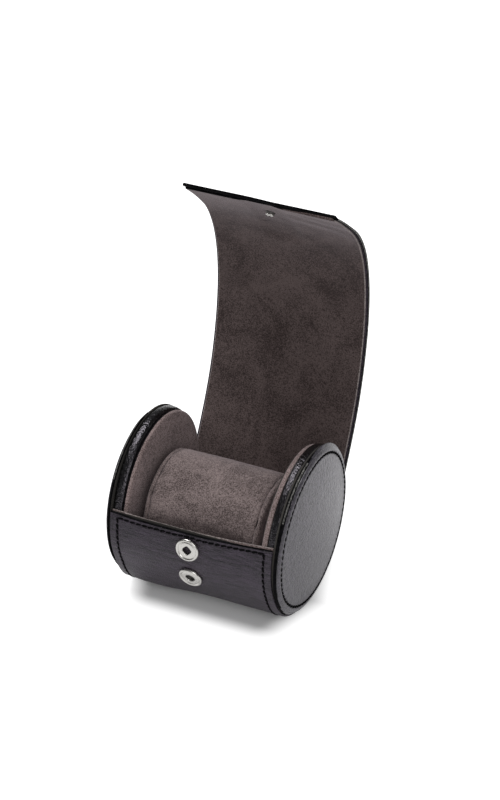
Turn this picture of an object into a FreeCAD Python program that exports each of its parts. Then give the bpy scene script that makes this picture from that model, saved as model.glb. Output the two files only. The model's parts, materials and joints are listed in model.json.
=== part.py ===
import FreeCAD, Part
import math
import os

# Watch roll: two padded round ends, a leather wrap between them that opens as a long flap,
# two snap sockets on the front, a stud on the flap and a loose suede cushion inside.
# Millimetres. X runs along the roll, Y to the back, Z up, the floor is Z = 0.
os.makedirs("parts", exist_ok=True)
V = FreeCAD.Vector

# How far a cutting shape goes past what it cuts.
past = 5.0

# Layers of the wrap. The flap goes on with the same leather and lining.
lining_thickness = 0.6
board_thickness = 0.4
leather_thickness = 1.2
wrap_thickness = lining_thickness + board_thickness + leather_thickness

# Radii about the roll's axis, from the padded rim that the wrap lies on outwards.
rim_radius = 38.0
wrap_inner = rim_radius
wrap_outer = wrap_inner + wrap_thickness
wrap_middle = wrap_inner + wrap_thickness / 2
leather_inner = wrap_outer - leather_thickness
disc_lip = 0.1
disc_radius = wrap_outer + disc_lip
foot_flat = 0.7
axis_z = disc_radius - foot_flat

# The round ends along X, from the leather face outside to the suede face inside.
roll_length = 86.4
disc_outer_x = roll_length / 2
face_skin = 1.0
face_foam = 1.0
face_backing = 0.8
core_outer_x = disc_outer_x - face_skin - face_foam - face_backing
core_thickness = 5.0
core_inner_x = core_outer_x - core_thickness
suede_pad_thickness = 2.5
suede_pad_inner_x = core_inner_x - suede_pad_thickness
suede_skin = 0.8
rim_thickness = 1.2
core_radius = rim_radius - rim_thickness
rim_round = 1.0
face_gap = 0.2
face_round = 0.9
stitch_ring_inset = 4.1
stitch_ring_radius = disc_radius - stitch_ring_inset

# Stitching, a thread in a groove.
thread_width = 0.5
thread_sunk = 0.3
thread_proud = 0.12

# The wrap: angles are measured at the axis from the back upwards.
wrap_side_gap = 0.2
wrap_half = core_outer_x - wrap_side_gap
front_edge_angle = 165.2
leave_angle = -30.9
lead_length = 8.2
side_stitch_inset = 3.9
top_stitch_drop = 2.8

# The flap: equal strips that bend against each other, then a longer tip.
flap_side_step = 1.6
flap_half = wrap_half - flap_side_step
strip_length = 15.0
tip_length = 24.8
strip_turns = [0.2, 2.4, 4.8, 7.0, 5.0, 6.5, 8.5, 11.0, 14.5, 16.5]
tip_turn = 8.5
leather_gap = 0.5
lining_gap = 0.9
tip_corner = 1.5
flap_out = wrap_thickness / 2
flap_split = leather_inner - wrap_middle

# Snap sockets on the front, each held by a rivet.
snap_x = -0.8
socket_angles = [178.0, 202.6]
socket_radius = 5.65
socket_height = 1.0
socket_round = 0.35
socket_bore = 2.3
socket_wall = 0.6
socket_barrel = socket_bore + socket_wall
barrel_depth = leather_thickness - 0.2
socket_floor = 0.3
spring_wire = 0.22
spring_height = 0.62
rivet_shank = 1.6
rivet_flange = 4.0
rivet_flange_thickness = 0.6
rivet_head = 2.0
rivet_head_thickness = 0.2

# The stud on the flap's tip, with a cap outside.
stud_from_hinge = 7.3
stud_clear = 0.3
stud_radius = socket_bore - stud_clear
stud_height = 1.5
stud_neck = 1.5
stud_slot = 0.9
stud_shank = 1.2
stud_base = 2.3
stud_base_thickness = 0.3
cap_radius = 5.0
cap_height = 0.9
cap_round = 0.5

# The loose cushion, resting on the lining in the roll.
cushion_forward = 5.7
cushion_space = 11.1
cushion_radius = rim_radius - cushion_space
cushion_top_drop = 2.0
cushion_top_z = axis_z - cushion_top_drop
cushion_clear = 0.35
cushion_crown = 0.5
cushion_skin = 1.0
cushion_end_skin = 1.0
cushion_end_gap = 3.65
cushion_half = suede_pad_inner_x - cushion_end_gap
seam_inset = 3.1
seam_x = cushion_half - seam_inset
seam_width = 0.3
seam_sunk = 0.4
cushion_end_round = 1.5


def polar(radius, angle):
    """A point in the YZ plane round the roll's axis, angle from the back upwards."""
    a = math.radians(angle)
    return V(0, radius * math.cos(a), axis_z + radius * math.sin(a))


def radial(angle):
    a = math.radians(angle)
    return V(0, math.cos(a), math.sin(a))


def line(p, q):
    return Part.LineSegment(p, q).toShape()


def arc(p, q, r):
    return Part.Arc(p, q, r).toShape()


def slab(edges, half, middle=0.0):
    """A closed outline in the YZ plane drawn out along X, half to each side of middle."""
    face = Part.Face(Part.Wire(Part.__sortEdges__(edges)))
    face.translate(V(middle - half, 0, 0))
    return face.extrude(V(2 * half, 0, 0))


def band(inner, outer, start, end, half, middle=0.0):
    """Part of a tube about the roll's axis between two angles."""
    mid = (start + end) / 2
    edges = [
        arc(polar(outer, start), polar(outer, mid), polar(outer, end)),
        line(polar(outer, end), polar(inner, end)),
        arc(polar(inner, end), polar(inner, mid), polar(inner, start)),
        line(polar(inner, start), polar(outer, start)),
    ]
    return slab(edges, half, middle)


def disc(radius, start, end):
    """A round plate on the roll's axis from start to end along X."""
    return Part.makeCylinder(radius, end - start, V(start, 0, axis_z), V(1, 0, 0))


def ring(inner, outer, start, end):
    return disc(outer, start, end).cut(disc(inner, start - past, end + past))


def round_edges(shape, size, pick):
    edges = [e for e in shape.Edges if pick(e)]
    return shape.makeFillet(size, edges)


def circle_at(x, radius):
    """Picks the full circles of one radius in the plane X = x."""
    def pick(edge):
        curve = edge.Curve
        if not isinstance(curve, Part.Circle):
            return False
        return abs(curve.Radius - radius) < 0.01 and abs(curve.Center.x - x) < 0.01
    return pick


def save(name, shape):
    shape.exportStep("parts/" + name + ".step")


def save_pair(name, right):
    """Saves a piece of the right end and its mirror image on the left."""
    save(name + "_right", right)
    save(name + "_left", right.mirror(V(0, 0, 0), V(1, 0, 0)))


floor_block = Part.makeBox(2 * roll_length, 4 * disc_radius, past, V(-roll_length, -2 * disc_radius, -past))


def build_ends():
    # A suede skin folded round a thin board faces the watch.
    pad = disc(rim_radius, suede_pad_inner_x, core_inner_x)
    pad = round_edges(pad, suede_skin, circle_at(suede_pad_inner_x, rim_radius))
    board = disc(rim_radius - suede_skin, suede_pad_inner_x + suede_skin, core_inner_x)
    save_pair("end_suede", pad.cut(board))
    save_pair("end_inner_board", board)

    # The core board carries a padded leather rim.
    save_pair("end_core_board", disc(core_radius, core_inner_x, core_outer_x))
    rim = ring(core_radius, rim_radius, core_inner_x, core_outer_x)
    for x in (core_inner_x, core_outer_x):
        rim = round_edges(rim, rim_round, circle_at(x, rim_radius))
    save_pair("end_rim_leather", rim)

    # The outer face is leather drawn over a foam pad and a backing board.
    face_start = core_outer_x + face_gap
    cover = disc(disc_radius, face_start, disc_outer_x)
    for x in (face_start, disc_outer_x):
        cover = round_edges(cover, face_round, circle_at(x, disc_radius))
    inside = disc_radius - face_skin
    backing = disc(inside, core_outer_x, core_outer_x + face_backing)
    foam = disc(inside, core_outer_x + face_backing, core_outer_x + face_backing + face_foam)
    groove = ring(stitch_ring_radius - thread_width / 2, stitch_ring_radius + thread_width / 2,
                  disc_outer_x - thread_sunk, disc_outer_x + past)
    cover = cover.cut(disc(inside, core_outer_x - past, disc_outer_x - face_skin)).cut(groove)
    save_pair("end_face_leather", cover.cut(floor_block))
    save_pair("end_face_backing", backing)
    save_pair("end_face_foam", foam)
    thread = ring(stitch_ring_radius - thread_width / 2, stitch_ring_radius + thread_width / 2,
                  disc_outer_x - thread_sunk, disc_outer_x + thread_proud)
    save_pair("end_face_thread", thread)


def flap_point(start, lean, length, turn, along, offset):
    """A point on a flap strip: along its arc, and offset outwards from its middle layer."""
    a = math.radians(lean)
    radius = length / math.radians(turn)
    centre = start + V(0, -math.cos(a), math.sin(a)) * radius
    b = math.radians(lean - turn * along / length)
    return centre - V(0, -math.cos(b), math.sin(b)) * (radius + offset)


def flap_layer(start, lean, length, turn, first, last, inner, outer):
    """One layer of a flap strip, between two places along it and two offsets."""
    def at(along, offset):
        return flap_point(start, lean, length, turn, along, offset)
    mid = (first + last) / 2
    edges = [
        arc(at(first, outer), at(mid, outer), at(last, outer)),
        line(at(last, outer), at(last, inner)),
        arc(at(last, inner), at(mid, inner), at(first, inner)),
        line(at(first, inner), at(first, outer)),
    ]
    return slab(edges, flap_half)


def tangent_at(angle, length):
    """The point reached by going straight on from the wrap where it leaves the rims."""
    a = math.radians(leave_angle + 90)
    return polar(wrap_middle, angle) + V(0, math.cos(a), math.sin(a)) * length


def lead_layer(inner, outer, gap):
    """The straight lead of one wrap layer between the rims and the first bend."""
    run = V(0, math.cos(math.radians(leave_angle + 90)), math.sin(math.radians(leave_angle + 90)))
    p = polar(inner, leave_angle)
    q = polar(outer, leave_angle)
    end = run * (lead_length - gap / 2)
    return slab([line(p, q), line(q, q + end), line(q + end, p + end), line(p + end, p)], flap_half)


def socket_shape(angle):
    """A snap socket with its barrel through the leather, and the holes it needs."""
    out = radial(angle)
    seat = polar(wrap_outer, angle) + V(snap_x, 0, 0)
    bottom = seat - out * barrel_depth
    flange = Part.makeCylinder(socket_radius, 2 * socket_height, seat - out * socket_height, out)
    top = [e for e in flange.Edges if isinstance(e.Curve, Part.Circle)
           and (e.Curve.Center - seat).dot(out) > socket_height / 2]
    flange = flange.makeFillet(socket_round, top)
    flange = flange.cut(disc(wrap_outer, -wrap_half, wrap_half))
    barrel = Part.makeCylinder(socket_barrel, barrel_depth + socket_height / 2, bottom, out)
    cavity = Part.makeCylinder(socket_bore, past, bottom + out * socket_floor, out)
    eye = Part.makeCylinder(rivet_shank, 2 * past, bottom - out * past, out)
    spring_seat = Part.makeTorus(socket_bore + spring_wire / 2, spring_wire, seat + out * spring_height, out)
    return flange.fuse(barrel).removeSplitter().cut(cavity).cut(eye).cut(spring_seat)


def spring_shape(angle):
    out = radial(angle)
    seat = polar(wrap_outer, angle) + V(snap_x, 0, 0)
    return Part.makeTorus(socket_bore + spring_wire / 2, spring_wire, seat + out * spring_height, out)


def rivet_shape(angle):
    """The rivet that holds a socket: flange inside on the lining, shank, spread head."""
    out = radial(angle)
    seat = polar(wrap_outer, angle) + V(snap_x, 0, 0)
    floor_top = seat - out * (barrel_depth - socket_floor)
    inner = polar(wrap_inner, angle) + V(snap_x, 0, 0)
    flange = Part.makeCylinder(rivet_flange, past, inner - out * rivet_flange_thickness, out)
    flange = flange.common(disc(wrap_inner, -wrap_half, wrap_half))
    length = (floor_top - inner).dot(out) + rivet_flange_thickness / 2
    shank = Part.makeCylinder(rivet_shank, length, inner - out * (rivet_flange_thickness / 2), out)
    head = Part.makeCylinder(rivet_head, rivet_head_thickness, floor_top, out)
    return flange.fuse(shank).fuse(head).removeSplitter()


def build_wrap():
    first = front_edge_angle
    last = 360 + leave_angle
    lining = band(wrap_inner, wrap_inner + lining_thickness, first, last, wrap_half)
    board = band(wrap_inner + lining_thickness, leather_inner, first, last, wrap_half)
    leather = band(leather_inner, wrap_outer, first, last, wrap_half)
    leather = leather.fuse(lead_layer(leather_inner, wrap_outer, leather_gap)).removeSplitter()
    lining = lining.fuse(lead_layer(wrap_inner, wrap_inner + lining_thickness, lining_gap)).removeSplitter()
    board = board.fuse(lead_layer(wrap_inner + lining_thickness, leather_inner, lining_gap)).removeSplitter()

    # Stitching runs down both sides and along the front edge, sunk into the leather.
    thread_inner = wrap_outer - thread_sunk
    thread_outer = wrap_outer + thread_proud
    row = wrap_half - side_stitch_inset
    top_row = first + math.degrees(top_stitch_drop / wrap_outer)
    thread_angle = math.degrees(thread_width / wrap_outer)
    rows = [band(thread_inner, thread_outer, top_row, last, thread_width / 2, side * row) for side in (-1, 1)]
    rows.append(band(thread_inner, thread_outer, top_row, top_row + thread_angle, row + thread_width / 2))
    thread = rows[0].fuse(rows[1:]).removeSplitter()
    leather = leather.cut(thread)

    sockets = []
    springs = []
    rivets = []
    for angle in socket_angles:
        out = radial(angle)
        bottom = polar(wrap_outer - barrel_depth, angle) + V(snap_x, 0, 0)
        inner = polar(wrap_inner, angle) + V(snap_x, 0, 0)
        leather = leather.cut(Part.makeCylinder(socket_barrel, past, bottom, out))
        hole = Part.makeCylinder(rivet_shank, wrap_thickness + 2 * past, inner - out * past, out)
        leather = leather.cut(hole)
        board = board.cut(hole)
        lining = lining.cut(hole)
        sockets.append(socket_shape(angle))
        springs.append(spring_shape(angle))
        rivets.append(rivet_shape(angle))
    save("wrap_leather", leather.cut(floor_block))
    save("wrap_board", board)
    save("wrap_lining", lining)
    save("wrap_thread", thread.cut(floor_block))
    save("snap_sockets", Part.makeCompound(sockets))
    save("snap_springs", Part.makeCompound(springs))
    save("snap_rivets", Part.makeCompound(rivets))


def build_flap():
    start = tangent_at(leave_angle, lead_length)
    lean = -leave_angle
    for number, turn in enumerate(strip_turns, 1):
        leather = flap_layer(start, lean, strip_length, turn, leather_gap / 2,
                             strip_length - leather_gap / 2, flap_split, flap_out)
        lining = flap_layer(start, lean, strip_length, turn, lining_gap / 2,
                            strip_length - lining_gap / 2, -flap_out, flap_split)
        save("flap_leather_%02d" % number, leather)
        save("flap_lining_%02d" % number, lining)
        start = flap_point(start, lean, strip_length, turn, strip_length, 0)
        lean -= turn
    build_tip(start, lean)


def round_tip(shape, end):
    """Rounds the two corners of the flap's free edge."""
    corners = [e for e in shape.Edges if abs(e.BoundBox.XLength) < 0.01
               and all((v.Point - end).Length > flap_half - 1 for v in e.Vertexes)
               and all(abs(v.Y - end.y) < wrap_thickness and abs(v.Z - end.z) < wrap_thickness
                       for v in e.Vertexes)]
    return shape.makeFillet(tip_corner, corners)


def build_tip(start, lean):
    def at(along, offset):
        return flap_point(start, lean, tip_length, tip_turn, along, offset)
    leather = flap_layer(start, lean, tip_length, tip_turn, leather_gap / 2, tip_length, flap_split, flap_out)
    lining = flap_layer(start, lean, tip_length, tip_turn, lining_gap / 2, tip_length, -flap_out, flap_split)
    leather = round_tip(leather, at(tip_length, 0))
    lining = round_tip(lining, at(tip_length, 0))

    # The stud's shank goes through the tip: stud on the lining, cap on the leather.
    place = at(stud_from_hinge, -flap_out) + V(snap_x, 0, 0)
    out = at(stud_from_hinge, 1) - at(stud_from_hinge, 0)
    inwards = out * -1
    hole = Part.makeCylinder(stud_shank, wrap_thickness + 2 * past, place - out * past, out)
    base = Part.makeCylinder(stud_base, 2 * stud_base_thickness, place + out * stud_base_thickness, inwards)
    base = base.cut(lining)
    neck = Part.makeCylinder(stud_neck, stud_height, place, inwards)
    head = Part.makeCylinder(stud_radius, stud_height / 2, place + inwards * (stud_height / 2), inwards)
    stud = base.fuse(neck).fuse(head).removeSplitter()
    across = V(1, 0, 0)
    for direction in (across, across.cross(out)):
        stud = stud.cut(slot(place + inwards * (stud_height / 2), direction, inwards))
    stud = stud.cut(lining).cut(hole)
    top = at(stud_from_hinge, flap_out) + V(snap_x, 0, 0)
    cap = Part.makeCylinder(cap_radius, cap_height + flap_out, top - out * flap_out, out)
    rim = [e for e in cap.Edges if isinstance(e.Curve, Part.Circle)
           and (e.Curve.Center - top).dot(out) > cap_height / 2]
    cap = cap.makeFillet(cap_round, rim).cut(leather)
    shank = Part.makeCylinder(stud_shank, wrap_thickness + stud_base_thickness + cap_height / 2,
                              place + inwards * stud_base_thickness, out)
    cap = cap.fuse(shank).removeSplitter()
    save("flap_leather_tip", leather.cut(hole))
    save("flap_lining_tip", lining.cut(hole))
    save("snap_stud", stud)
    save("snap_stud_cap", cap)


def slot(bottom, direction, inwards):
    """A narrow slot across the stud's head, which leaves it four lobes."""
    side = direction.cross(inwards)
    p = bottom - direction * past - side * (stud_slot / 2)
    q = p + direction * (2 * past)
    face = Part.Face(Part.makePolygon([p, q, q + side * stud_slot, p + side * stud_slot, p]))
    return face.extrude(inwards * past)


def oval(radius, x):
    """The cushion's outline: a round top and a round bottom joined by short straight sides."""
    low = lower_centre()
    top = cushion_top_z
    y = -cushion_forward
    edges = [
        arc(V(x, y + radius, top), V(x, y, top + radius), V(x, y - radius, top)),
        line(V(x, y - radius, top), V(x, y - radius, low)),
        arc(V(x, y - radius, low), V(x, y, low - radius), V(x, y + radius, low)),
        line(V(x, y + radius, low), V(x, y + radius, top)),
    ]
    return Part.Wire(edges)


def lower_centre():
    """Height of the lower round, so that the cushion just clears the lining under it."""
    reach = wrap_inner - cushion_clear - cushion_radius
    return axis_z - math.sqrt(reach ** 2 - cushion_forward ** 2)


def prism(radius, start, end):
    return Part.Face(oval(radius, start)).extrude(V(end - start, 0, 0))


def build_cushion():
    side = cushion_radius - cushion_crown
    inner = cushion_radius - cushion_crown - cushion_skin
    body = Part.makeLoft([oval(side, -seam_x), oval(cushion_radius, 0), oval(side, seam_x)], True)
    core_half = cushion_half - cushion_end_skin
    core = prism(inner, -core_half, core_half)
    save("cushion_cover", body.cut(core))
    save("cushion_core", core)
    seam_end = seam_x + seam_width
    seam = prism(side - seam_sunk, seam_x, seam_end).cut(core)
    save_pair("cushion_seam", seam)
    end = prism(side, seam_end, cushion_half)
    outer = [e for e in end.Edges if all(abs(v.X - cushion_half) < 0.01 for v in e.Vertexes)]
    end = end.makeFillet(cushion_end_round, outer)
    save_pair("cushion_end", end.cut(core))


build_ends()
build_wrap()
build_flap()
build_cushion()
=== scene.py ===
"""Looks of a round leather watch roll with a long curling flap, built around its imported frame."""
import json
import math

import bpy
import numpy as np
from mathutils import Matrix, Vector, noise


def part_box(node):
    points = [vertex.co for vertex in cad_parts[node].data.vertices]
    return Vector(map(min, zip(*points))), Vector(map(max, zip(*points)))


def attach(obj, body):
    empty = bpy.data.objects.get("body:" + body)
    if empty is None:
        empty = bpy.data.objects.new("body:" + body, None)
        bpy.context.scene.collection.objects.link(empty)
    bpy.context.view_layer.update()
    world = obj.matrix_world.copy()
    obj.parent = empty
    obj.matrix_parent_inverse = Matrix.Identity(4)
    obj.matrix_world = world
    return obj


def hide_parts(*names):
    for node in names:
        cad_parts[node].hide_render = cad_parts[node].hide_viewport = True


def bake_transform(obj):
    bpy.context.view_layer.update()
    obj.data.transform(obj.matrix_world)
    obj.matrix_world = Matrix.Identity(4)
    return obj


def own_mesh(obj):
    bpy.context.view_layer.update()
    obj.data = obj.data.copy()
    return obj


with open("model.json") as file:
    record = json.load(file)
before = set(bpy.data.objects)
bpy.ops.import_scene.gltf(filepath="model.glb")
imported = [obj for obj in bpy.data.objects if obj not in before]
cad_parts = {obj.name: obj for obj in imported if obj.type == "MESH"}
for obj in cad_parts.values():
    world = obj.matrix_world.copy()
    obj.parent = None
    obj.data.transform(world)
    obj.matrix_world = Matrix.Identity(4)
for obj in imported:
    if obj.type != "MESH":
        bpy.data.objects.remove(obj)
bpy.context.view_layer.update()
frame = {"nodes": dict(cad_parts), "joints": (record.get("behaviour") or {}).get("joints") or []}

bl_info = {
    "name": "Watch Roll",
    "version": (1, 0, 0),
    "blender": (4, 5, 0),
    "location": "3D View > Sidebar > Watch Roll",
    "description": "Dresses a watch roll's frame in leather, suede, thread and nickel",
    "category": "Object",
}

MM = 0.001


def box_mm(node):
    """Lowest and highest corner of a frame node, in millimetres."""
    low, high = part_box(node)
    return np.array(low) / MM, np.array(high) / MM


# Sizes read from the frame, in millimetres.
CORE_LOW, CORE_HIGH = box_mm("end_core_board_right")
RIM_LOW, RIM_HIGH = box_mm("end_rim_leather_right")
FACE_LOW, FACE_HIGH = box_mm("end_face_leather_right")
PAD_LOW, PAD_HIGH = box_mm("end_suede_right")
WRAP_LOW, WRAP_HIGH = box_mm("wrap_leather")
STRIP_HIGH = box_mm("flap_leather_05")[1]
COVER_LOW, COVER_HIGH = box_mm("cushion_cover")
CUSHION_END_HIGH = box_mm("cushion_end_right")[1]
AXIS_Z = (CORE_LOW[2] + CORE_HIGH[2]) / 2
RIM_RADIUS = RIM_HIGH[1]
DISC_RADIUS = FACE_HIGH[1]
WRAP_RADIUS = -WRAP_LOW[1]
WRAP_HALF = WRAP_HIGH[0]
FLAP_HALF = STRIP_HIGH[0]
WRAP_MIDDLE = (RIM_RADIUS + WRAP_RADIUS) / 2
HINGES = [np.array(j["pos_m"][1:]) / MM for j in frame["joints"] if j["type"] == "hinge"]
FLAP_BODIES = [j["child"] for j in frame["joints"] if j["type"] == "hinge"]

# Layers of the wrap and flap, as offsets from their middle line.
LEATHER_IN, LEATHER_OUT = -0.1, 1.1
LINING_IN, LINING_OUT = -1.1, -0.1
WRAP_LINING_OUT = -0.5

# The wrap's front edge, its stitch rows and the snaps on it; angles are in degrees round the axis.
FRONT_ANGLE = 165.2
SIDE_STITCH_X = 36.3
TOP_STITCH = 2.8
SNAP_X = -0.8
SOCKET_ANGLES = (178.0, 202.6)
SOCKET_RADIUS = 5.65

# The ring of stitches on the round ends.
STITCH_RING = 36.2

# The flap's tip: its length, how far it bends in degrees, its rounded corners and where the stud sits.
TIP_LENGTH = 24.8
TIP_TURN = 8.5
TIP_CORNER = 1.5
STUD_FROM_HINGE = 7.3


def polar(radius, degrees):
    """Y and Z of a point round the roll's axis, the angle counted from the back upwards."""
    a = math.radians(degrees)
    return np.array([radius * math.cos(a), AXIS_Z + radius * math.sin(a)])


def lead_angle():
    """Angle at which the wrap leaves the rims and runs straight to the first hinge."""
    first = HINGES[0] - np.array([0, AXIS_Z])
    reach = np.linalg.norm(first)
    return math.degrees(math.atan2(first[1], first[0]) - math.acos(WRAP_MIDDLE / reach))


LEAVE_ANGLE = lead_angle()
LEAD_LENGTH = float(np.linalg.norm(HINGES[0] - polar(WRAP_MIDDLE, LEAVE_ANGLE)))
WRAP_ARC = math.radians(360 + LEAVE_ANGLE - FRONT_ANGLE) * WRAP_MIDDLE


def flap_arcs():
    """Start, lean, length and turn of each strip: arcs that run smoothly through the hinges."""
    arcs = []
    lean = -LEAVE_ANGLE
    for start, end in zip(HINGES, HINGES[1:]):
        chord = end - start
        turn = 2 * (lean - math.degrees(math.atan2(chord[0], chord[1])))
        half = math.radians(turn) / 2
        length = np.linalg.norm(chord) * half / math.sin(half)
        arcs.append((start, lean, length, turn))
        lean -= turn
    arcs.append((HINGES[-1], lean, TIP_LENGTH, TIP_TURN))
    return arcs


ARCS = flap_arcs()
STRIP = ARCS[0][2]
FLAP_LENGTH = STRIP * (len(ARCS) - 1) + TIP_LENGTH
STUD_ALONG = STRIP * (len(ARCS) - 1) + STUD_FROM_HINGE


def flap_line(along):
    """Point on the flap's middle line and the direction out of the leather.
    Along is counted from the first hinge; before it the line runs straight."""
    if along <= 0:
        a = math.radians(-LEAVE_ANGLE)
        ahead, out = np.array([math.sin(a), math.cos(a)]), np.array([math.cos(a), -math.sin(a)])
        return HINGES[0] + ahead * along, out
    number = min(int(along / STRIP), len(ARCS) - 1)
    start, lean, length, turn = ARCS[number]
    part = along - STRIP * number
    radius = length / math.radians(turn)
    a = math.radians(lean)
    b = math.radians(lean - turn * part / length)
    centre = start + np.array([-math.cos(a), math.sin(a)]) * radius
    out = np.array([math.cos(b), -math.sin(b)])
    return centre + out * radius, out


def wrap_line(along):
    """Point on the wrap's middle line and the direction outwards, along from the front edge."""
    if along > WRAP_ARC:
        return flap_line(along - WRAP_ARC - LEAD_LENGTH)
    degrees = FRONT_ANGLE + math.degrees(along / WRAP_MIDDLE)
    a = math.radians(degrees)
    return polar(WRAP_MIDDLE, degrees), np.array([math.cos(a), math.sin(a)])


def smooth(value, low, high):
    """0 below low, 1 above high, an eased ramp between."""
    t = min(max((value - low) / (high - low), 0.0), 1.0)
    return t * t * (3 - 2 * t)


def hump(value, middle, width):
    """1 at the middle, falling to nothing about two widths away."""
    return math.exp(-((value - middle) / width) ** 2)


def lumps(x, y, z, size, seed=0.0):
    """Soft random unevenness from -1 to 1, the same on every run."""
    return noise.noise(Vector((x / size + seed, y / size, z / size)))


def new_piece(name, points, faces, finishes, body=None, sharp=40.0, face_finish=None):
    """A mesh piece from millimetre points, with its finishes, riding on a body."""
    mesh = bpy.data.meshes.new(name)
    mesh.from_pydata([tuple(np.array(p) * MM) for p in points], [], faces)
    for finish in finishes:
        mesh.materials.append(finish)
    mesh.polygons.foreach_set("use_smooth", [True] * len(mesh.polygons))
    if face_finish is not None:
        mesh.polygons.foreach_set("material_index", face_finish)
    mesh.validate()
    mesh.update()
    mesh.set_sharp_from_angle(angle=math.radians(sharp))
    piece = bpy.data.objects.new(name, mesh)
    bpy.context.scene.collection.objects.link(piece)
    if body:
        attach(piece, body)
    return piece


def skin_rings(rings, closed=False, cap_start=None, cap_end=None):
    """Faces between rings of equal length; a cap is the point that an end closes to in a fan."""
    count = len(rings[0])
    faces = []
    total = len(rings) if closed else len(rings) - 1
    for r in range(total):
        a, b = rings[r], rings[(r + 1) % len(rings)]
        for k in range(count):
            n = (k + 1) % count
            faces.append((a[k], a[n], b[n], b[k]))
    if cap_start is not None:
        faces += cap_faces(rings[0], cap_start, True)
    if cap_end is not None:
        faces += cap_faces(rings[-1], cap_end, False)
    return faces


def cap_faces(ring, tip, flip):
    """A fan from a ring to one point."""
    faces = []
    for k in range(len(ring)):
        n = (k + 1) % len(ring)
        faces.append((ring[n], ring[k], tip) if flip else (ring[k], ring[n], tip))
    return faces


def lathe(profile, steps, mirror=1, shift=None):
    """Points and faces of a profile of (radius, x) turned about the roll's axis.
    A profile that starts and ends at radius 0 makes a closed solid; any other is closed on itself."""
    on_axis = profile[0][0] == 0
    points = []
    rings = []
    for radius, x in profile:
        if radius == 0:
            rings.append([len(points)])
            points.append((mirror * x, 0.0, AXIS_Z))
            continue
        ring = []
        for k in range(steps):
            a = 2 * math.pi * k / steps
            y, z = radius * math.cos(a), radius * math.sin(a)
            dx, dr = shift(radius, x, a, y, z) if shift else (0.0, 0.0)
            grow = 1 + dr / radius
            ring.append(len(points))
            points.append((mirror * (x + dx), y * grow, max(AXIS_Z + z * grow, 0.0)))
        rings.append(ring)
    full = [r for r in rings if len(r) > 1]
    faces = skin_rings(full, closed=not on_axis)
    if on_axis:
        faces += cap_faces(full[0], rings[0][0], True)
        faces += cap_faces(full[-1], rings[-1][0], False)
    if mirror > 0:
        faces = [f[::-1] for f in faces]
    return points, faces


# Kinds of face on a layer, the angles of the points round its edge, how many of the edge's faces
# belong to its inner side, and the shares of its thickness at which an end rounds over.
SURFACE, EDGE_OUTER, EDGE_INNER, END = range(4)
EDGE_TURN = (67.5, 45, 22.5, 0, -22.5, -45, -67.5)
EDGE_INNER_FACES = 2
END_ROUND = (0.94, 0.75, 0.45, 0.15)


def across_slab(half, inner, outer, columns, edge):
    """Loop of (x, offset) across a layer with rounded edges: along the outside, round an edge, back along
    the inside and round the other edge."""
    middle = (inner + outer) / 2
    rise = (outer - inner) / 2
    flat = half - edge
    xs = [x for x in columns if abs(x) < flat - 0.05]
    loop = [(-flat, outer)] + [(x, outer) for x in xs] + [(flat, outer)]
    turn = [math.radians(t) for t in EDGE_TURN]
    loop += [(flat + edge * math.cos(t), middle + rise * math.sin(t)) for t in turn]
    loop += [(flat, inner)] + [(x, inner) for x in reversed(xs)] + [(-flat, inner)]
    loop += [(-flat - edge * math.cos(t), middle + rise * math.sin(t)) for t in reversed(turn)]
    return loop


def slab(line, alongs, half, inner, outer, columns, shift=None, drift=None, ends=(False, False), edge=0.5):
    """Points, faces and kinds of face of a layer that follows a line, closed at both ends.
    Columns are shares of the half width. An end marked in ends is rounded over in thickness.
    Shift gives an offset for (x, along, outside), drift a step along the line for (x, along)."""
    points = []
    rings = []
    middle = (inner + outer) / 2
    rise = (outer - inner) / 2
    stations = [(a, 1.0) for a in alongs]
    rounded = [(rise * math.sqrt(1 - t * t), t) for t in END_ROUND]
    if ends[0]:
        stations = [(alongs[0] - past, t) for past, t in reversed(rounded)] + stations
    if ends[1]:
        stations = stations + [(alongs[-1] + past, t) for past, t in rounded]
    for along, thick in stations:
        wide = half(along) if callable(half) else half
        loop = across_slab(wide, inner, outer, [c * wide for c in columns], edge)
        straight = line(along)
        ring = []
        for x, offset in loop:
            level = middle + (offset - middle) * thick
            if shift:
                level += shift(x, along, offset > middle) * thick
            place, out = line(along + drift(x, along)) if drift else straight
            y, z = place + out * level
            ring.append(len(points))
            points.append((x, y, max(z, 0.0)))
        rings.append(ring)
    faces = skin_rings(rings)
    row = len(rings[0]) // 2 - len(EDGE_TURN)
    outer_edge = [EDGE_OUTER] * (len(EDGE_TURN) + 1 - EDGE_INNER_FACES)
    inner_edge = [EDGE_INNER] * EDGE_INNER_FACES
    around = [SURFACE] * (row - 1) + outer_edge + inner_edge
    around += [SURFACE] * (row - 1) + inner_edge + outer_edge
    kinds = []
    for (_, before), (_, after) in zip(stations, stations[1:]):
        kinds += around if before == after == 1.0 else [END] * len(around)
    for ring, flip in ((rings[0], False), (rings[-1], True)):
        quads = flat_cap(ring)
        faces += quads if flip else [q[::-1] for q in quads]
        kinds += [END] * len(quads)
    return points, faces, kinds


def flat_cap(ring):
    """Faces that close a slab's end, joining its outside row to its inside row."""
    count = len(ring)
    faces = []
    low, high = 0, count - 1
    while high - low > 2:
        faces.append((ring[low], ring[low + 1], ring[high - 1], ring[high]))
        low, high = low + 1, high - 1
    if high - low == 2:
        faces.append((ring[low], ring[low + 1], ring[high]))
    return faces


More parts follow.
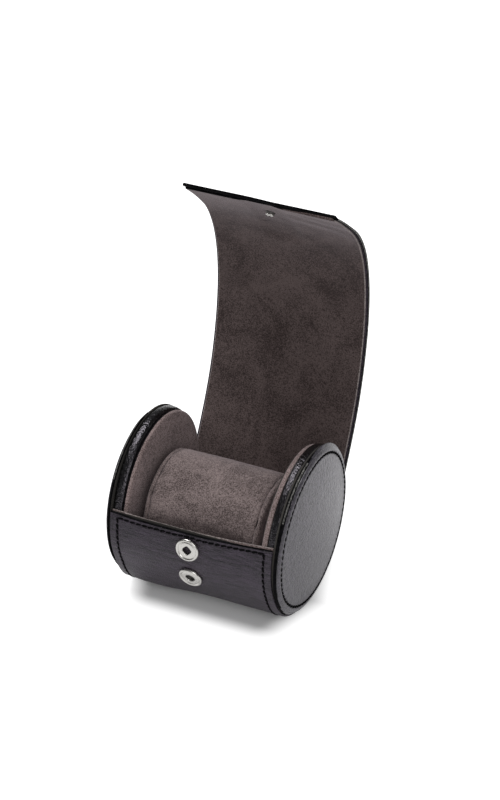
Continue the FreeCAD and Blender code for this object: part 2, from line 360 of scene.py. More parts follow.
def stitch_row(places, sizes):
    """Points and faces of many stitches: each place holds a middle, a direction along and one out.
    A stitch is a flattened thread that bows up in the middle and sinks in at both ends."""
    points = []
    faces = []
    sides = 8
    flatten = 0.75
    taper = 0.35
    uneven = 0.08
    ts = (-1.0, -0.94, -0.75, -0.4, 0.0, 0.4, 0.75, 0.94, 1.0)
    for number, (middle, along, out) in enumerate(places):
        side = np.cross(out, along)
        slant = along + side * sizes.stitch_slant
        slant /= np.linalg.norm(slant)
        side = np.cross(out, slant)
        vary = 1 + uneven * lumps(number * 1.7, 0.3, 0.0, 1.0, 4.0)
        rings = []
        ends = []
        for t in ts:
            level = sizes.stitch_proud * (1 - t ** 4) - sizes.stitch_dip * t ** 6
            centre = middle + slant * (t * vary * sizes.stitch_length / 2) + out * level
            radius = sizes.stitch_width / 2 * (1 - taper * t ** 4)
            if abs(t) == 1.0:
                ends.append(len(points))
                points.append(tuple(centre))
                continue
            ring = []
            for k in range(sides):
                a = 2 * math.pi * k / sides
                ring.append(len(points))
                around = side * math.cos(a) + out * (flatten * math.sin(a))
                points.append(tuple(centre + around * radius))
            rings.append(ring)
        faces += skin_rings(rings, cap_start=ends[0], cap_end=ends[1])
    return points, faces


# Finishes


def add(tree, kind, **settings):
    """Adds a node; settings are properties of the node."""
    made = tree.nodes.new(kind)
    for key, value in settings.items():
        setattr(made, key, value)
    return made


def fill(node, values):
    """Sets a node's input sockets: numbers and colours as they are, sockets by a link."""
    tree = node.id_data
    for key, value in values.items():
        if isinstance(value, bpy.types.NodeSocket):
            tree.links.new(value, node.inputs[key])
        else:
            node.inputs[key].default_value = value
    return node


def math_node(tree, operation, first, second=0.0, third=0.0, clamp=False):
    made = add(tree, "ShaderNodeMath", operation=operation, use_clamp=clamp)
    fill(made, {0: first, 1: second, 2: third})
    return made.outputs[0]


def mix_colour(tree, factor, first, second):
    made = add(tree, "ShaderNodeMix", data_type="RGBA")
    fill(made, {0: factor, 6: first, 7: second})
    return made.outputs[2]


def new_group(name, inputs, outputs):
    """A shader node group with named sockets, its input and its output node."""
    tree = bpy.data.node_groups.new(name, "ShaderNodeTree")
    for label, kind, value in inputs:
        socket = tree.interface.new_socket(label, in_out="INPUT", socket_type=kind)
        if value is not None:
            socket.default_value = value
    for label, kind in outputs:
        tree.interface.new_socket(label, in_out="OUTPUT", socket_type=kind)
    return tree, tree.nodes.new("NodeGroupInput"), tree.nodes.new("NodeGroupOutput")


def noise_node(tree, place, scale, detail=2.0, rough=0.5, distortion=0.0):
    made = add(tree, "ShaderNodeTexNoise")
    fill(made, {"Vector": place, "Scale": scale, "Detail": detail, "Roughness": rough,
                "Distortion": distortion})
    return made.outputs["Fac"]


def centred(tree, value):
    """A value from 0 to 1 counted from its middle."""
    return math_node(tree, "SUBTRACT", value, 0.5)


def stretch(tree, place, by):
    made = add(tree, "ShaderNodeVectorMath", operation="MULTIPLY")
    fill(made, {0: place, 1: by})
    return made.outputs[0]


def grain_group():
    """Leather grain: rounded pebbles with creases between them, and slow patches of shine."""
    if "Leather grain" in bpy.data.node_groups:
        return bpy.data.node_groups["Leather grain"]
    tree, into, out = new_group(
        "Leather grain",
        [("Place", "NodeSocketVector", None), ("Folds", "NodeSocketVector", None),
         ("Pebbles", "NodeSocketFloat", 900.0), ("Creases", "NodeSocketFloat", 0.5),
         ("Crease Scale", "NodeSocketFloat", 500.0)],
        [("Height", "NodeSocketFloat"), ("Shade", "NodeSocketFloat"), ("Patch", "NodeSocketFloat")])
    place = into.outputs["Place"]
    cells = add(tree, "ShaderNodeTexVoronoi", feature="SMOOTH_F1")
    warp = add(tree, "ShaderNodeVectorMath", operation="ADD")
    wander = add(tree, "ShaderNodeTexNoise")
    fill(wander, {"Vector": place, "Scale": 300.0, "Detail": 2.0})
    small = stretch(tree, wander.outputs["Color"], (0.0012, 0.0012, 0.0012))
    fill(warp, {0: place, 1: small})
    fill(cells, {"Vector": warp.outputs[0], "Scale": into.outputs["Pebbles"], "Smoothness": 0.35})
    domes = math_node(tree, "SUBTRACT", 1.0, cells.outputs["Distance"])
    folds = noise_node(tree, into.outputs["Folds"], into.outputs["Crease Scale"], 3.0, 0.55, 0.6)
    ridges = math_node(tree, "ABSOLUTE", centred(tree, folds))
    ridges = math_node(tree, "MULTIPLY", ridges, 3.0, clamp=True)
    fine = noise_node(tree, place, 2600.0, 2.0, 0.6)
    height = math_node(tree, "MULTIPLY_ADD", fine, 0.25, domes)
    height = math_node(tree, "MULTIPLY_ADD", ridges, into.outputs["Creases"], height)
    tree.links.new(height, out.inputs["Height"])
    patch = noise_node(tree, place, 55.0, 3.0, 0.6)
    tree.links.new(patch, out.inputs["Patch"])
    # Shade: tone that varies with the folds and the slow patches, and the pebbles' tops painted lighter than
    # the hollows between them, which is painted shade.
    shade = math_node(tree, "MULTIPLY_ADD", centred(tree, folds), 3.2, 0.5)
    shade = math_node(tree, "MULTIPLY_ADD", math_node(tree, "SUBTRACT", domes, 0.6), 0.8, shade)
    shade = math_node(tree, "MULTIPLY_ADD", centred(tree, patch), 0.7, shade, clamp=True)
    tree.links.new(shade, out.inputs["Shade"])
    return tree


def nap_group():
    """Suede nap: fine fibres, tufts of them and brushed blotches between a dark and a light shade."""
    if "Suede nap" in bpy.data.node_groups:
        return bpy.data.node_groups["Suede nap"]
    tree, into, out = new_group(
        "Suede nap",
        [("Place", "NodeSocketVector", None), ("Dark", "NodeSocketColor", (0.04, 0.03, 0.03, 1)),
         ("Light", "NodeSocketColor", (0.1, 0.08, 0.08, 1)), ("Fibres", "NodeSocketFloat", 1500.0),
         ("Blotches", "NodeSocketFloat", 45.0), ("Blotch Depth", "NodeSocketFloat", 0.5),
         ("Contrast", "NodeSocketFloat", 4.6)],
        [("Color", "NodeSocketColor"), ("Height", "NodeSocketFloat")])
    place = into.outputs["Place"]
    fibres = noise_node(tree, place, into.outputs["Fibres"], 3.0, 0.7)
    tufts = noise_node(tree, place, math_node(tree, "MULTIPLY", into.outputs["Fibres"], 0.28), 2.0, 0.6)
    blotches = noise_node(tree, place, into.outputs["Blotches"], 4.0, 0.6, 0.8)
    shade = math_node(tree, "MULTIPLY_ADD", centred(tree, fibres), into.outputs["Contrast"], 0.5)
    shade = math_node(tree, "MULTIPLY_ADD", centred(tree, tufts), 0.8, shade)
    shade = math_node(tree, "MULTIPLY_ADD", centred(tree, blotches), into.outputs["Blotch Depth"], shade,
                      clamp=True)
    colour = mix_colour(tree, shade, into.outputs["Dark"], into.outputs["Light"])
    tree.links.new(colour, out.inputs["Color"])
    height = math_node(tree, "MULTIPLY_ADD", tufts, 0.6, fibres)
    tree.links.new(height, out.inputs["Height"])
    return tree


def start_material(name):
    """An empty node material: its tree, its Principled shader and where the surface lies."""
    made = bpy.data.materials.new(name)
    made.use_nodes = True
    tree = made.node_tree
    tree.nodes.clear()
    shader = add(tree, "ShaderNodeBsdfPrincipled")
    output = add(tree, "ShaderNodeOutputMaterial")
    tree.links.new(shader.outputs[0], output.inputs["Surface"])
    place = add(tree, "ShaderNodeTexCoord").outputs["Object"]
    return made, tree, shader, place


def use_group(tree, group, values):
    made = add(tree, "ShaderNodeGroup", node_tree=group)
    fill(made, values)
    return made


def bump(tree, shader, height, depth, strength=1.0):
    made = add(tree, "ShaderNodeBump")
    fill(made, {"Height": height, "Distance": depth, "Strength": strength})
    tree.links.new(made.outputs["Normal"], shader.inputs["Normal"])


def shaded(colour, share):
    """A colour made darker or lighter by a share."""
    return [c * share for c in colour[:3]] + [1]


def leather(name, colour, rough, gloss, depth, pebbles, creases, crease_scale, lean=0.0, draw=(1, 1, 1),
            coat=0.0):
    """Grained leather: colour and shine drift in slow patches over a bumped grain.
    Creases are turned about x by lean and drawn out by draw; coat is a clear satin finish on top."""
    if name in bpy.data.materials:
        return bpy.data.materials[name]
    made, tree, shader, place = start_material(name)
    folds = add(tree, "ShaderNodeMapping", vector_type="TEXTURE")
    fill(folds, {"Vector": place, "Rotation": (lean, 0, 0), "Scale": draw})
    grain = use_group(tree, grain_group(), {"Place": place, "Folds": folds.outputs[0], "Pebbles": pebbles,
                                            "Creases": creases, "Crease Scale": crease_scale})
    base = mix_colour(tree, grain.outputs["Shade"], shaded(colour, 0.2), shaded(colour, 1.8))
    fill(shader, {"Base Color": base,
                  "Roughness": math_node(tree, "MULTIPLY_ADD", grain.outputs["Patch"], 0.16, rough - 0.08),
                  "Specular IOR Level": gloss, "Specular Tint": (0.96, 0.89, 1.0, 1), "Coat Weight": coat,
                  "Coat Roughness": 0.3, "Coat Tint": (0.98, 0.96, 1.0, 1)})
    bump(tree, shader, grain.outputs["Height"], depth)
    return made


def suede(name, dark, light, blotches=45.0, depth=0.5, sheen=0.35, contrast=4.6):
    """Brushed suede: napped colour, a soft sheen and no gloss."""
    if name in bpy.data.materials:
        return bpy.data.materials[name]
    made, tree, shader, place = start_material(name)
    nap = use_group(tree, nap_group(), {"Place": place, "Dark": dark, "Light": light, "Fibres": 1900.0,
                                        "Blotches": blotches, "Blotch Depth": depth,
                                        "Contrast": contrast})
    fill(shader, {"Base Color": nap.outputs["Color"], "Roughness": 0.95, "Specular IOR Level": 0.1,
                  "Sheen Weight": sheen, "Sheen Roughness": 0.45, "Sheen Tint": (0.75, 0.68, 0.72, 1)})
    bump(tree, shader, nap.outputs["Height"], 0.0002, 0.6)
    return made


def thread_finish():
    """Matt twisted sewing thread."""
    name = "black thread"
    if name in bpy.data.materials:
        return bpy.data.materials[name]
    made, tree, shader, place = start_material(name)
    twist = noise_node(tree, place, 4200.0, 2.0)
    colour = colours().thread
    fill(shader, {"Base Color": mix_colour(tree, twist, shaded(colour, 0.6), colour),
                  "Roughness": 0.8, "Specular IOR Level": 0.05})
    bump(tree, shader, twist, 0.0001)
    return made


def metal(name, colour, rough):
    """Plated metal with fine wear in its shine."""
    if name in bpy.data.materials:
        return bpy.data.materials[name]
    made, tree, shader, place = start_material(name)
    wear = noise_node(tree, place, 900.0, 4.0, 0.65)
    fill(shader, {"Base Color": mix_colour(tree, wear, shaded(colour, 0.85), colour), "Metallic": 1.0,
                  "Roughness": math_node(tree, "MULTIPLY_ADD", wear, 0.22, rough - 0.08)})
    bump(tree, shader, wear, 0.00003)
    return made


def board_finish(name, colour):
    """Pressed board: fibrous and matt."""
    if name in bpy.data.materials:
        return bpy.data.materials[name]
    made, tree, shader, place = start_material(name)
    fibre = noise_node(tree, stretch(tree, place, (1.0, 0.4, 1.0)), 1800.0, 4.0, 0.7)
    fill(shader, {"Base Color": mix_colour(tree, fibre, shaded(colour, 0.6), colour), "Roughness": 0.9})
    bump(tree, shader, fibre, 0.0001)
    return made


def colours():
    return bpy.context.scene.roll_colours


def outer_leather():
    """Leather with fine creases that run across the roll."""
    return leather("wrap leather", colours().leather, rough=0.44, gloss=0.54, depth=0.0002, pebbles=1700.0,
                   creases=1.4, crease_scale=1000.0, draw=(9, 1, 1))


def face_leather():
    """Pebbled leather with short slanting streaks, under a clear coat."""
    return leather("face leather", colours().face, rough=0.36, gloss=0.75, depth=0.0006, pebbles=700.0,
                   creases=1.4, crease_scale=600.0, lean=-0.82, draw=(1, 3, 1), coat=0.7)


def rim_leather():
    """Black glossy leather with a mottled grain."""
    return leather("rim leather", colours().rim, rough=0.19, gloss=0.65, depth=0.0002, pebbles=1000.0,
                   creases=0.3, crease_scale=900.0)


def dye_and_painted_shade():
    """Black dye on the cut edges of the leather, also used as painted shade on the front of the round ends'
    lips and on the left pad's edge.
    """
    return leather("edge dye", colours().edge, rough=0.7, gloss=0.04, depth=0.0001, pebbles=1800.0,
                   creases=0.4, crease_scale=900.0, draw=(6, 1, 1))


def raw_edge_and_highlight():
    """Undyed cut edge of the leather, painted lighter as painted highlight: on the flap's outer edges and on
    the lit part of the round ends' lips.
    """
    return leather("raw leather", colours().raw_edge_and_highlight, rough=0.7, gloss=0.3, depth=0.0002, pebbles=1800.0,
                   creases=0.8, crease_scale=900.0)


def suede_edge():
    """Pale raw edge of the suede."""
    return suede("suede edge", colours().raw_dark, colours().raw_light)


def flap_suede():
    """Dark lining of the flap, with large brushed blotches."""
    return suede("flap suede", colours().suede_dark, colours().suede_light, blotches=48.0, depth=2.6,
                 sheen=0.55, contrast=6.5)


def pad_suede():
    """Lining of the round ends and of the wrap, its pale colour partly painted light for the light on the
    round ends.
    """
    return suede("pad suede", colours().pad_dark, colours().pad_light, blotches=60.0, depth=1.5, contrast=6.5)


def cushion_suede():
    """Paler suede of the cushion."""
    return suede("cushion suede", colours().cushion_dark, colours().cushion_light, blotches=70.0, depth=1.8)


def nickel():
    """Bright plating of the snaps."""
    return metal("nickel plate", colours().nickel, 0.26)


def dull_metal_and_shade():
    """Dull metal inside the snaps, also painted shade: the sockets' wells and the stud's base under its lobes
    are painted dark.
    """
    return metal("dark metal", colours().dull_metal_and_shade, 0.4)


# What a user may change


def colour_property(name, description, default):
    return bpy.props.FloatVectorProperty(name=name, description=description, subtype="COLOR", size=4,
                                         min=0.0, max=1.0, default=(*default, 1.0))


def number_property(name, description, default, **more):
    return bpy.props.FloatProperty(name=name, description=description, default=default, **more)


def length_property(name, description, default):
    """A size that is given in millimetres, as the panel shows it."""
    return number_property(name, description + ", in mm", default, min=0.0)


def reach_property(name, description, default):
    """A distance on the table, in Blender's own unit of length."""
    return number_property(name, description, default, unit="LENGTH")


def place_property(name, description, default):
    return bpy.props.FloatVectorProperty(name=name, description=description, default=default, unit="LENGTH")


class RollColours(bpy.types.PropertyGroup):
    """Colours of the roll's finishes."""
    leather: colour_property("Leather", "Leather of the wrap and the flap", (0.026, 0.019, 0.029))
    face: colour_property("Face leather", "Leather of the round ends", (0.03, 0.0275, 0.036))
    rim: colour_property("Rim leather", "Leather of the padded rims", (0.006, 0.006, 0.006))
    # The edge dye is also painted shade on the front of the round ends' lips and on the left pad's edge.
    edge: colour_property("Edge dye", "Dyed edges of the leather", (0.004, 0.004, 0.0045))
    # The raw edge is painted lighter as painted highlight, on the flap's outer edges and the lit part of the
    # round ends' lips.
    raw_edge_and_highlight: colour_property("Raw leather", "Undyed cut edges of the leather", (0.15, 0.148, 0.138))
    suede_dark: colour_property("Flap suede, dark", "Shaded nap of the flap's lining", (0.036, 0.025, 0.0235))
    suede_light: colour_property("Flap suede, light", "Raised nap of the flap's lining", (0.125, 0.094, 0.09))
    # The pad suede's pale colours are partly painted light, lighter than the flap's lining for the light on
    # the round ends.
    pad_dark: colour_property("Pad suede, dark", "Shaded nap inside the round ends", (0.1, 0.073, 0.069))
    pad_light: colour_property("Pad suede, light", "Raised nap inside the round ends", (0.342, 0.263, 0.256))
    raw_dark: colour_property("Raw suede, dark", "Shaded nap of the suede's raw edges", (0.12, 0.1, 0.098))
    raw_light: colour_property("Raw suede, light", "Raised nap of the suede's raw edges", (0.36, 0.31, 0.3))
    cushion_dark: colour_property("Cushion suede, dark", "Shaded nap of the cushion", (0.07, 0.054, 0.052))
    cushion_light: colour_property("Cushion suede, light", "Raised nap of the cushion", (0.27, 0.214, 0.208))
    thread: colour_property("Thread", "Sewing thread", (0.004, 0.004, 0.0045))
    nickel: colour_property("Nickel", "Plating of the snaps", (0.66, 0.645, 0.62))
    # The dull metal is also painted shade in the snaps' wells and under the stud's lobes.
    dull_metal_and_shade: colour_property("Dark metal", "Inside of the snap sockets", (0.2, 0.195, 0.188))
    board: colour_property("Board", "Stiffening board", (0.05, 0.045, 0.04))
    floor: colour_property("Floor", "Table top", (0.8, 0.8, 0.8))


class RollSizes(bpy.types.PropertyGroup):
    """Sizes of the sewn and padded details, in millimetres."""
    stitch_pitch: length_property("Stitch pitch", "From one stitch to the next", 3.0)
    stitch_length: length_property("Stitch length", "Length of one stitch", 2.8)
    stitch_width: length_property("Stitch width", "Thickness of the thread", 1.0)
    stitch_proud: length_property("Stitch height", "How far a stitch stands above its groove", 0.12)
    stitch_dip: length_property("Stitch dip", "How far a stitch's ends sink into their holes", 0.3)
    stitch_slant: number_property("Stitch slant", "Sideways lean of each stitch", 0.3)
    groove_depth: length_property("Groove depth", "How far stitching pulls the leather in", 0.6)
    left_flat: length_property("Left end flattening", "How far the left end's upper back has worn flat", 1.7)
    face_edge: length_property("Face edge", "Thickness of the round ends at their stitches", 2.6)
    sag: length_property("Wrap sag", "How far the wrap hangs out below the front", 1.4)
    face_puff: length_property("Face padding", "Rise of the padded round ends", 2.6)
    rim_crown: length_property("Rim crown", "Rounding across the padded rims", 1.0)
    rim_swell: length_property("Rim swell", "Rise of the padded rims where they lie bare", 1.6)
    seam_depth: length_property("Cushion seam depth", "How far the cushion's seams pull in", 1.0)
    cushion_fill: number_property("Cushion fill", "How full the cushion is", 0.9, min=0.0, max=1.0,
                                  subtype="FACTOR")


class RollStage(bpy.types.PropertyGroup):
    """Camera, light and floor."""
    camera_place: place_property("Camera", "Where the camera stands", (0.40569, -0.84561, 0.68324))
    camera_target: place_property("Target", "Where the camera looks", (0.01139, 0.0, 0.10060))
    lens: number_property("Lens", "Focal length in mm", 111.07)
    key: number_property("Key light", "Power of the overhead light", 8.0, unit="POWER")
    side: number_property("Side light", "Power of the front light", 4.6, unit="POWER")
    ambient: number_property("Ambient", "Strength of the light from all round", 0.26)
    mirrored: number_property("Mirrored", "Surroundings as shiny parts show them", 0.12)
    lift: number_property("Floor lift", "White added to the floor as it is seen", 0.8)
    mirrored_lift: number_property("Mirrored lift", "Share of that white which shiny parts show", 0.4)
    # The shade on the table is painted: a patch under and in front of the roll, narrowing forwards, where the
    # floor's added white is held back.
    shade_inner: reach_property("Shade inner", "Where the floor's white starts at the sides", 0.037)
    shade_outer: reach_property("Shade outer", "Where the floor's white is full at the sides", 0.052)
    shade_front: reach_property("Shade front", "Where the floor's white starts in front", 0.027)
    shade_reach: reach_property("Shade reach", "Where the floor's white is full in front", 0.039)
    shade_shift: reach_property("Shade shift", "How far the shade lies to the right", 0.001)
    shade_taper: number_property("Shade taper", "How fast the shade narrows forwards", 0.35)
    shade_lift: number_property("Shade lift", "Share of the white inside the shade", 0.05)


# Operators


# The round ends, and which way each one faces along x.
ENDS = (("right", 1), ("left", -1))


# How far the right end leans out for each millimetre up and back, and how softly the lean starts.
LEAN_UP, LEAN_BACK, LEAN_START = 0.028, -0.014, 0.03


def splay(y, z):
    """How far the right end leans out, most at its top and front; z is counted from the roll's axis."""
    lean = LEAN_UP * z + LEAN_BACK * y
    return (lean + math.sqrt(lean * lean + LEAN_START)) / 2


def splayed(shift):
    """A shift for the right end that also leans it out."""
    def leaning(radius, x, angle, y, z):
        dx, dr = shift(radius, x, angle, y, z)
        return dx + splay(y, z), dr
    return leaning


# The face's domed middle: its rings, and where its dome runs out.
FACE_RINGS = (4, 8, 12, 16, 19, 22, 24.5, 27, 29, 31, 32.5, 33.6)
DOME_RADIUS = 35.0
# From the stitch ring outwards: the step from the ring and the rise over the face's edge there.
# The groove is drawn for a depth of GROOVE, and the last ten are the sloping lip.
FACE_BORDER = (
    (-1.9, 0.10), (-1.3, 0.12), (-0.8, -0.02), (-0.4, -0.28), (0.0, -0.45), (0.4, -0.28),
    (0.8, -0.05), (1.2, -0.06), (1.6, -0.18), (2.0, -0.4), (2.4, -0.68), (2.8, -0.98),
    (3.2, -1.3), (3.55, -1.6), (3.85, -1.9), (4.05, -2.15))
GROOVE, GROOVE_HALF = 0.45, 0.6
LIP_BANDS = 10
# Bands of the lip, counted outwards, and angles round the axis between which their finishes come and go:
# a raw edge line painted lighter as painted highlight where it is lit, and black as painted shade at the
# front.
RAW_HIGHLIGHT_BAND = 6.5
RAW_HIGHLIGHT_COMES, RAW_HIGHLIGHT_GOES = (90, 106), (136, 152)
PAINTED_SHADE_FIRST, PAINTED_SHADE_SPREAD = 4, 7
PAINTED_SHADE_COMES, PAINTED_SHADE_GOES = (55, 112), (200, 265)
# Angles between which the left end is worn flat, and the radius from which it is.
WORN_COMES, WORN_GOES = (5.0, 40.0), (64.0, 108.0)
WORN_START = 30.0
# How far each stitch pulls the leather in, and how wide.
PULL_DEPTH, PULL_WIDTH = 0.16, 0.9


class ROLL_OT_end_faces(bpy.types.Operator):
    """Padded leather faces of the round ends, with their ring of stitches"""
    bl_idname = "roll.end_faces"
    bl_label = "End faces"

    def execute(self, context):
        sizes = context.scene.roll_sizes
        count = round(2 * math.pi * STITCH_RING / sizes.stitch_pitch)
        back = FACE_LOW[0]
        front = back + sizes.face_edge
        skin = 1.0
        levels = [(0.0, front + sizes.face_puff)]
        for radius in FACE_RINGS:
            levels.append((radius, front + sizes.face_puff * (1 - (radius / DOME_RADIUS) ** 2)))
        for gap, rise in FACE_BORDER:
            scale = sizes.groove_depth / GROOVE if rise < 0 and abs(gap) < GROOVE_HALF else 1.0
            levels.append((STITCH_RING + gap, front + rise * scale))
        lip = len(levels) - LIP_BANDS
        levels += [(DISC_RADIUS - 0.04, back + 0.25), (DISC_RADIUS - 0.3, back + 0.08),
                   (DISC_RADIUS - 0.9, back), (DISC_RADIUS - skin - 0.1, back),
                   (DISC_RADIUS - skin, front - skin), (0.0, front - skin)]

        def shift(radius, x, angle, y, z):
            if x < front - 0.9:
                return 0.0, 0.0
            pull = hump(radius, STITCH_RING, PULL_WIDTH) * PULL_DEPTH * math.cos(count * angle)
            uneven = 0.05 * lumps(y, z, x, 7.0, 3.0) + 0.02 * lumps(y, z, x, 2.2, 9.0)
            return pull + uneven * (1 - hump(radius, STITCH_RING, 0.6)), 0.0

        def left_shift(radius, x, angle, y, z):
            dx, dr = shift(radius, x, angle, y, z)
            turn = math.degrees(angle)
            worn = smooth(turn, *WORN_COMES) * (1 - smooth(turn, *WORN_GOES))
            return dx, dr - sizes.left_flat * worn * smooth(radius, WORN_START, DISC_RADIUS)

        # On the lip, black stands in as painted shade at the front, and a lighter raw edge line as painted
        # highlight above.
        finishes = [face_leather(), dye_and_painted_shade(), raw_edge_and_highlight()]
        steps = count * 6
        for side, sign in ENDS:
            points, faces = lathe(levels, steps, sign, splayed(shift) if sign > 0 else left_shift)
            finish = [self.lip_finish(n // steps - lip, 360 * (n % steps) / steps) for n in range(len(faces))]
            cover = new_piece("end_face_cover_" + side, points, faces, finishes, "case", face_finish=finish)
            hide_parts("end_face_leather_" + side, "end_face_foam_" + side)
            places = []
            for k in range(count):
                a = 2 * math.pi * (k + 0.5) / count
                y, z = STITCH_RING * math.cos(a), STITCH_RING * math.sin(a)
                level = sign * (front - 0.3) + (splay(y, z) if sign > 0 else 0.0)
                middle = np.array([level, y, AXIS_Z + z])
                ahead = np.array([0, -math.sin(a), math.cos(a)])
                places.append((middle, ahead, np.array([sign, 0.0, 0.0])))
            points, faces = stitch_row(places, sizes)
            ring = new_piece("end_face_stitches_" + side, points, faces, [thread_finish()], "case", 60)
            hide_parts("end_face_thread_" + side)
        return {"FINISHED"}

    def lip_finish(self, band, turn):
        """Number of the finish on a band of the lip: black as painted shade at the front, and above it a raw
        edge line that shows only where it is lit, as painted highlight.
        """
        if abs(band - RAW_HIGHLIGHT_BAND) < smooth(turn, *RAW_HIGHLIGHT_COMES) * (1 - smooth(turn, *RAW_HIGHLIGHT_GOES)):
            return 2
        first = PAINTED_SHADE_FIRST + PAINTED_SHADE_SPREAD * max(1 - smooth(turn, *PAINTED_SHADE_COMES), smooth(turn, *PAINTED_SHADE_GOES))
        return 1 if first <= band <= LIP_BANDS else 0


# Faces round the rims and the suede pads.
RIM_STEPS = 360
PAD_STEPS = 240


class ROLL_OT_rims(bpy.types.Operator):
    """Soft crowned leather rims: the wrap presses them flat and they swell where they lie bare"""
    bl_idname = "roll.rims"
    bl_label = "Rims"

    def execute(self, context):
        sizes = context.scene.roll_sizes
        low, high = RIM_LOW[0], RIM_HIGH[0]
        middle, half = (low + high) / 2, (high - low) / 2
        inside = CORE_HIGH[1]
        profile = []
        half_way = (0.35, 0.6, 0.78, 0.9, 0.97, 1.0)
        for t in (*(-t for t in reversed(half_way)), 0.0, *half_way):
            round_off = sizes.rim_crown * abs(t) ** 3 + 0.35 * smooth(abs(t), 0.88, 1.0)
            profile.append((RIM_RADIUS - round_off, middle + t * half))
        profile += [(inside, high), (inside, low)]
        swell = sizes.rim_swell

        def shift(radius, x, angle, y, z):
            if radius < inside + 0.05:
                return 0.0, 0.0
            rise = max(math.sin(angle), 0.0)
            bare = swell * rise ** 2 * smooth(rise, 0.24, 0.5)
            uneven = 0.02 * lumps(x, y, z, 2.6, 1.0) + 0.04 * lumps(x, y, z, 7.0, 5.0) - 0.05
            return 0.0, bare + uneven

        for side, sign in ENDS:
            points, faces = lathe(profile, RIM_STEPS, sign, splayed(shift) if sign > 0 else shift)
            rim = new_piece("end_rim_band_" + side, points, faces, [rim_leather()], "case", 50)
            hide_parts("end_rim_leather_" + side)
            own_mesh(rim)
        return {"FINISHED"}


# The pads' rise in the middle, the rings of their flat and the bands of the left pad's edge that are painted
# black as painted shade.
PAD_RISE = 0.15
PAD_RINGS = (6, 12, 18, 23, 27, 30, 32.5, 34.5, 36)
PAD_PAINTED_SHADE = (14, 15)


class ROLL_OT_suede_pads(bpy.types.Operator):
    """Suede pads inside the round ends"""
    bl_idname = "roll.suede_pads"
    bl_label = "Suede pads"

    def execute(self, context):
        inner, outer = PAD_LOW[0], PAD_HIGH[0]
        edge = PAD_HIGH[1]
        profile = [(0.0, inner - PAD_RISE)]
        profile += [(r, inner - PAD_RISE * (1 - (r / edge) ** 2)) for r in PAD_RINGS]
        profile += [(edge - 1.2, inner + 0.02), (edge - 0.75, inner + 0.12), (edge - 0.38, inner + 0.32),
                    (edge - 0.14, inner + 0.62), (edge - 0.02, inner + 1.0), (edge, inner + 1.5),
                    (edge - 0.08, outer - 0.2), (edge - 0.3, outer)]
        skin = 0.8
        profile += [(edge - skin, outer), (edge - skin, inner + skin), (0.0, inner + skin)]

        def shift(radius, x, angle, y, z):
            if x > inner + skin - 0.05 and radius < edge - 0.5:
                return 0.0, 0.0
            return 0.05 * lumps(y, z, x, 9.0, 2.0), 0.04 * lumps(x, y, z, 5.0, 6.0) - 0.04

        for side, sign in ENDS:
            points, faces = lathe(profile, PAD_STEPS, sign, splayed(shift) if sign > 0 else shift)
            # The left pad's outer edge bands are painted black as painted shade.
            painted_shade_bands = PAD_PAINTED_SHADE if sign < 0 else ()
            finish = [1 if n // PAD_STEPS in painted_shade_bands else 0 for n in range(len(faces))]
            pad = new_piece("end_suede_pad_" + side, points, faces, [pad_suede(), dye_and_painted_shade()], "case", 50,
                            finish)
            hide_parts("end_suede_" + side)
        return {"FINISHED"}


def stitch_columns():
    """Places across the wrap, as shares of its half width, closer together at the stitch rows."""
    fine = [SIDE_STITCH_X + d for d in (-1.2, -0.8, -0.5, -0.25, 0.0, 0.25, 0.5, 0.8, 1.2)]
    even = list(np.linspace(-35.0, 35.0, 71)) + [38.2, 38.9, -38.2, -38.9]
    every = even + fine + [-x for x in fine]
    return sorted(x / WRAP_HALF for x in every)


# Width of the stitch grooves, width and rise of the soft lips beside them, and the dents round the snaps.
SINK_WIDTH = 0.42
LIP_WIDTH, LIP_RISE = 1.6, 0.07
DENT_DEPTH, DENT_REACH = 0.45, (-0.6, 2.6)


def wrap_shift(x, along, outside):
    """How the wrap's leather gives: stitch grooves, dents round the snaps, soft waves and its sag."""
    if not outside:
        return wrap_sag(x, along)
    sizes = bpy.context.scene.roll_sizes
    sink = 0.0
    for row in (-SIDE_STITCH_X, SIDE_STITCH_X):
        if along > TOP_STITCH - 0.5:
            sink = max(sink, hump(x, row, SINK_WIDTH))
    if abs(x) < SIDE_STITCH_X + 0.4:
        sink = max(sink, hump(along, TOP_STITCH, SINK_WIDTH))
    lip = LIP_RISE * (hump(along, TOP_STITCH, LIP_WIDTH) + hump(abs(x), SIDE_STITCH_X, LIP_WIDTH))
    dent = 0.0
    for degrees in SOCKET_ANGLES:
        away = math.hypot(x - SNAP_X, (along - math.radians(degrees - FRONT_ANGLE) * WRAP_MIDDLE))
        dent = max(dent, 1 - smooth(away, *(SOCKET_RADIUS + past for past in DENT_REACH)))
    waves = 0.09 * lumps(x, along * 2.4, 0.0, 16.0, 7.0) + 0.03 * lumps(x * 0.3, along * 1.4, 0.0, 2.0, 3.0)
    groove = sizes.groove_depth * 0.8 * sink
    return lip - groove - DENT_DEPTH * dent + waves * (1 - dent) + wrap_sag(x, along)


# Angles between which the wrap's sag comes and goes.
SAG_COMES, SAG_GOES = (203.0, 234.0), (255.0, 285.0)


def wrap_sag(x, along):
    """How far the loose wrap hangs out below the front, more towards the left."""
    degrees = FRONT_ANGLE + math.degrees(along / WRAP_MIDDLE)
    low = smooth(degrees, *SAG_COMES) * (1 - smooth(degrees, *SAG_GOES))
    side = 1.0 + smooth(-x, -2.0, 24.0) - 0.4 * smooth(-x, 28.0, WRAP_HALF)
    return bpy.context.scene.roll_sizes.sag * low * side


# How far the wrap's front edge rides up at its right and left corner.
RIGHT_RISE, LEFT_RISE = 2.4, 0.8


def front_drift(x, along):
    """How the sewn front edge rides up towards its corners, the right one more."""
    rise = RIGHT_RISE * (x / WRAP_HALF) ** 1.5 if x > 0 else LEFT_RISE * smooth(-x, 25.0, WRAP_HALF)
    return -rise * (1 - smooth(along, 4.0, 30.0))


